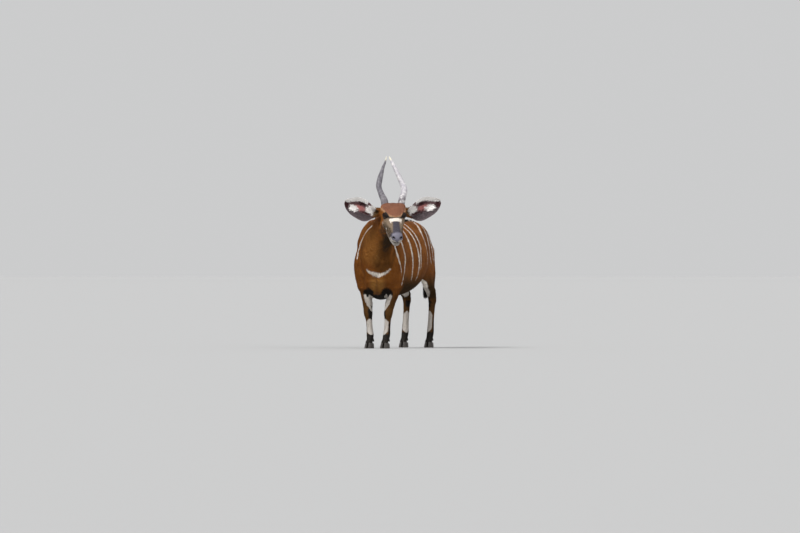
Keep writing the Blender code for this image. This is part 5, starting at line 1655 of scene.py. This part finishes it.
def tail(material):
    rings = []
    heights = []
    path = smooth_path(TAIL_LINE, 8)
    for i, (x, y, z, wide, thick) in enumerate(path):
        ahead = Vector(path[min(i + 1, len(path) - 1)][:3] - path[max(i - 1, 0)][:3]).normalized()
        level = Vector((1, 0, 0))
        other = ahead.cross(level).normalized()
        ring = []
        for k in range(24):
            angle = 2 * math.pi * k / 24
            flat = level * (wide * 0.9 * math.cos(angle)) + other * (thick * 0.9 * math.sin(angle))
            ring.append(Vector((x, y, z)) + flat)
            heights.append(z)
        rings.append(ring)
    obj = lofted("tail_skin", rings)
    wear = tail_marks(np.array(heights))
    wear["strand"] = np.full(len(heights), 0.5)
    store(obj.data, **wear)
    return set_piece(obj, material, "coat", "tail")


def tail_hair(material, count=3400, tuft_count=1500):
    """Short hair down the tail and the long dark tuft at its end."""
    path = smooth_path(TAIL_LINE, 8)
    total = count + tuft_count
    z = chance.uniform(0.66, 1.04, count)
    z = np.concatenate([z, chance.uniform(TUFT_BOTTOM_Z, TUFT_TOP_Z, tuft_count)])
    low_part = path[path[:, 2].argmax() :]
    y, wide, thick = (np.interp(-z, -low_part[:, 2], low_part[:, c]) for c in (1, 3, 4))
    angle = chance.uniform(0, 2 * math.pi, total)
    out = np.stack([np.cos(angle), np.sin(angle), np.zeros(total)], 1)
    is_tuft = np.arange(total) >= count
    inset = np.where(is_tuft, 0.55, 0.86)[:, None]
    middle = np.stack([np.zeros(total), y, z], 1)
    places = middle + out * np.stack([wide, thick, np.zeros(total)], 1) * inset
    splay = np.where(is_tuft, chance.uniform(0.06, 0.24, total), 0.12)[:, None]
    way = unit(np.array((0, 0, -1.0)) + out * splay)
    length = np.where(is_tuft, chance.uniform(0.085, 0.145, total), chance.uniform(0.014, 0.024, total))
    length = np.minimum(length, z - 0.463)
    steps = np.array((0.0, 0.3, 0.65, 1.0))
    centres = places[:, None] + way[:, None] * (length[:, None] * steps)[:, :, None]
    droop = np.where(is_tuft, 0.1, 0.02)[:, None, None] * length[:, None, None] * (steps**2)[None, :, None]
    centres -= out[:, None] * droop
    stray = chance.normal(0, 1, (total, 1, 3)) * (0.003 * is_tuft)[:, None, None]
    centres += stray * (steps**2)[None, :, None]
    halves = np.where(is_tuft, 0.0022, 0.0017)[:, None] * np.array((0.9, 1.0, 0.6))
    side = unit(np.cross(way, out))
    wear = tail_marks(z)
    wear["strand"] = chance.random(total)
    flat = np.stack([0.02 + 0.5 * (1.05 - z), 0.72 + 0.06 * angle / (2 * math.pi)], 1)
    strands("tail_hair", centres, side, out, halves, halves * 0.5, flat, wear, material)


CREST_FROM_Y = -0.43
CREST_TO_Y = 0.65


def crest(skin, head, material, count=5200):
    """The short mane of the back: dense upright locks, white where a stripe meets the spine."""
    tree = BVHTree.FromPolygons([v.co for v in skin.vertices], [p.vertices for p in skin.polygons])
    y = chance.uniform(CREST_FROM_Y, CREST_TO_Y, count)
    x = chance.normal(0, 0.0065, count)
    hits = [tree.ray_cast(Vector((a, b, 2)), Vector((0, 0, -1)))[0] for a, b in zip(x, y)]
    places = np.array([tuple(h) for h in hits])
    share = (y - CREST_FROM_Y) / (CREST_TO_Y - CREST_FROM_Y)
    height = 0.046 * (0.22 + 0.78 * np.sin(math.pi * np.minimum(1, share * 1.15) ** 0.6))
    height *= chance.uniform(0.7, 1.08, count) * (1 - 0.25 * np.abs(x) / 0.0065 * 0.5)
    lean = np.stack([x * 14, 0.45 + 0.3 * share + chance.normal(0, 0.1, count), np.ones(count)], 1)
    way = unit(lean)
    steps = np.array((0.0, 0.35, 0.7, 1.0))
    centres = places[:, None] - way[:, None] * 0.004
    centres = centres + way[:, None] * ((height + 0.004)[:, None] * steps)[:, :, None]
    centres[:, :, 1] += (0.01 * height / 0.046)[:, None] * (steps**2)[None, :]
    centres[:, :, 0] += (chance.normal(0, 0.003, count))[:, None] * (steps**2)[None, :]
    halves = np.full((count, 1), 0.0021) * np.array((1.0, 0.95, 0.55))
    up = np.tile((1.0, 0.0, 0.0), (count, 1))
    side = unit(np.cross(way, up))
    probe = places.copy()
    probe[:, 0] = np.where(np.abs(probe[:, 0]) < 0.012, 0.012, probe[:, 0])
    wear = marks(probe, head)
    wear["black"] = np.where(wear["white"] > -0.002, -0.05, 0.02)
    wear["white"] = np.clip(wear["white"] + 0.001, -0.05, 0.05)
    wear["strand"] = chance.random(count)
    strands("crest_hair", centres, side, up, halves, halves * 0.5, unwrap(places, head), wear, material)


def build():
    head = head_axes()
    set_stage()
    skin = make_skin(head)
    mesh = skin.data
    points = read(mesh, "co")
    wear = marks(points, head)
    store(mesh, **wear)
    store(mesh, strand=np.full(len(points), 0.5))
    hair = coat_material("coat", True)
    flesh_nodes = ["torso", "neck", "head"]
    flesh_nodes += [leg + "_" + word for leg in ("foreleg", "hindleg") for word in ("left", "right")]
    region = region_of(points, head)
    bare = np.maximum(wear["pad"], wear["rim"])
    side = points[:, 0] > 0
    face_side = to_axes(points, head)[:, 0] > 0
    regions = [
        ("coat_flank_left", (region == 0) & side & (points[:, 1] > -0.3), 35000),
        ("coat_flank_right", (region == 0) & ~side & (points[:, 1] > -0.3), 35000),
        ("coat_chest", (region == 0) & (points[:, 1] <= -0.3) & (points[:, 2] < 0.95), 31000),
        ("coat_neck", (region == 0) & (points[:, 1] <= -0.3) & (points[:, 2] >= 0.95), 35000),
        ("coat_head_left", (region == 1) & face_side, 38000),
        ("coat_head_right", (region == 1) & ~face_side, 38000),
        ("coat_forelegs", (region == 2) | (region == 3), 30000),
        ("coat_hindlegs", (region == 4) | (region == 5), 34000),
    ]
    for name, here, count in regions:
        weights = here * (1 - bare) * (points[:, 2] > 0.056)
        coat(mesh, head, name, weights, count, hair)
    crest(mesh, head, hair)
    tail(hair)
    tail_hair(hair)
    horns = horn_material()
    ears = ear_material(False)
    ear_hairs = ear_material(True)
    eyes = eye_material()
    hooves = hoof_material()
    for side, word in ((1, "left"), (-1, "right")):
        horn(side, word, head, horns)
        ear(side, word, head, ears)
        ear_hair(side, word, head, ear_hairs)
        ear_back_hair(side, word, head, ear_hairs)
        eye(side, word, head, eyes)
        for leg, foot_x, foot_y in (("fore", FORE_FOOT_X, FORE_FOOT_Y), ("hind", HIND_FOOT_X, HIND_FOOT_Y)):
            x = side * foot_x
            y = foot_y[side] - PASTERN_REACH[leg]
            for out, which in ((1, "left"), (-1, "right")):
                end = leg + "leg_" + word + "_" + which
                claw("claw_" + end, x, y, out, hooves, "hoof_" + end)
                dewclaw("spur_" + end, x, y + DEWCLAW_BACK[leg], out, hooves, "dewclaw_" + end)
    set_piece(skin, coat_material("skin", False), "coat", *flesh_nodes)


build()
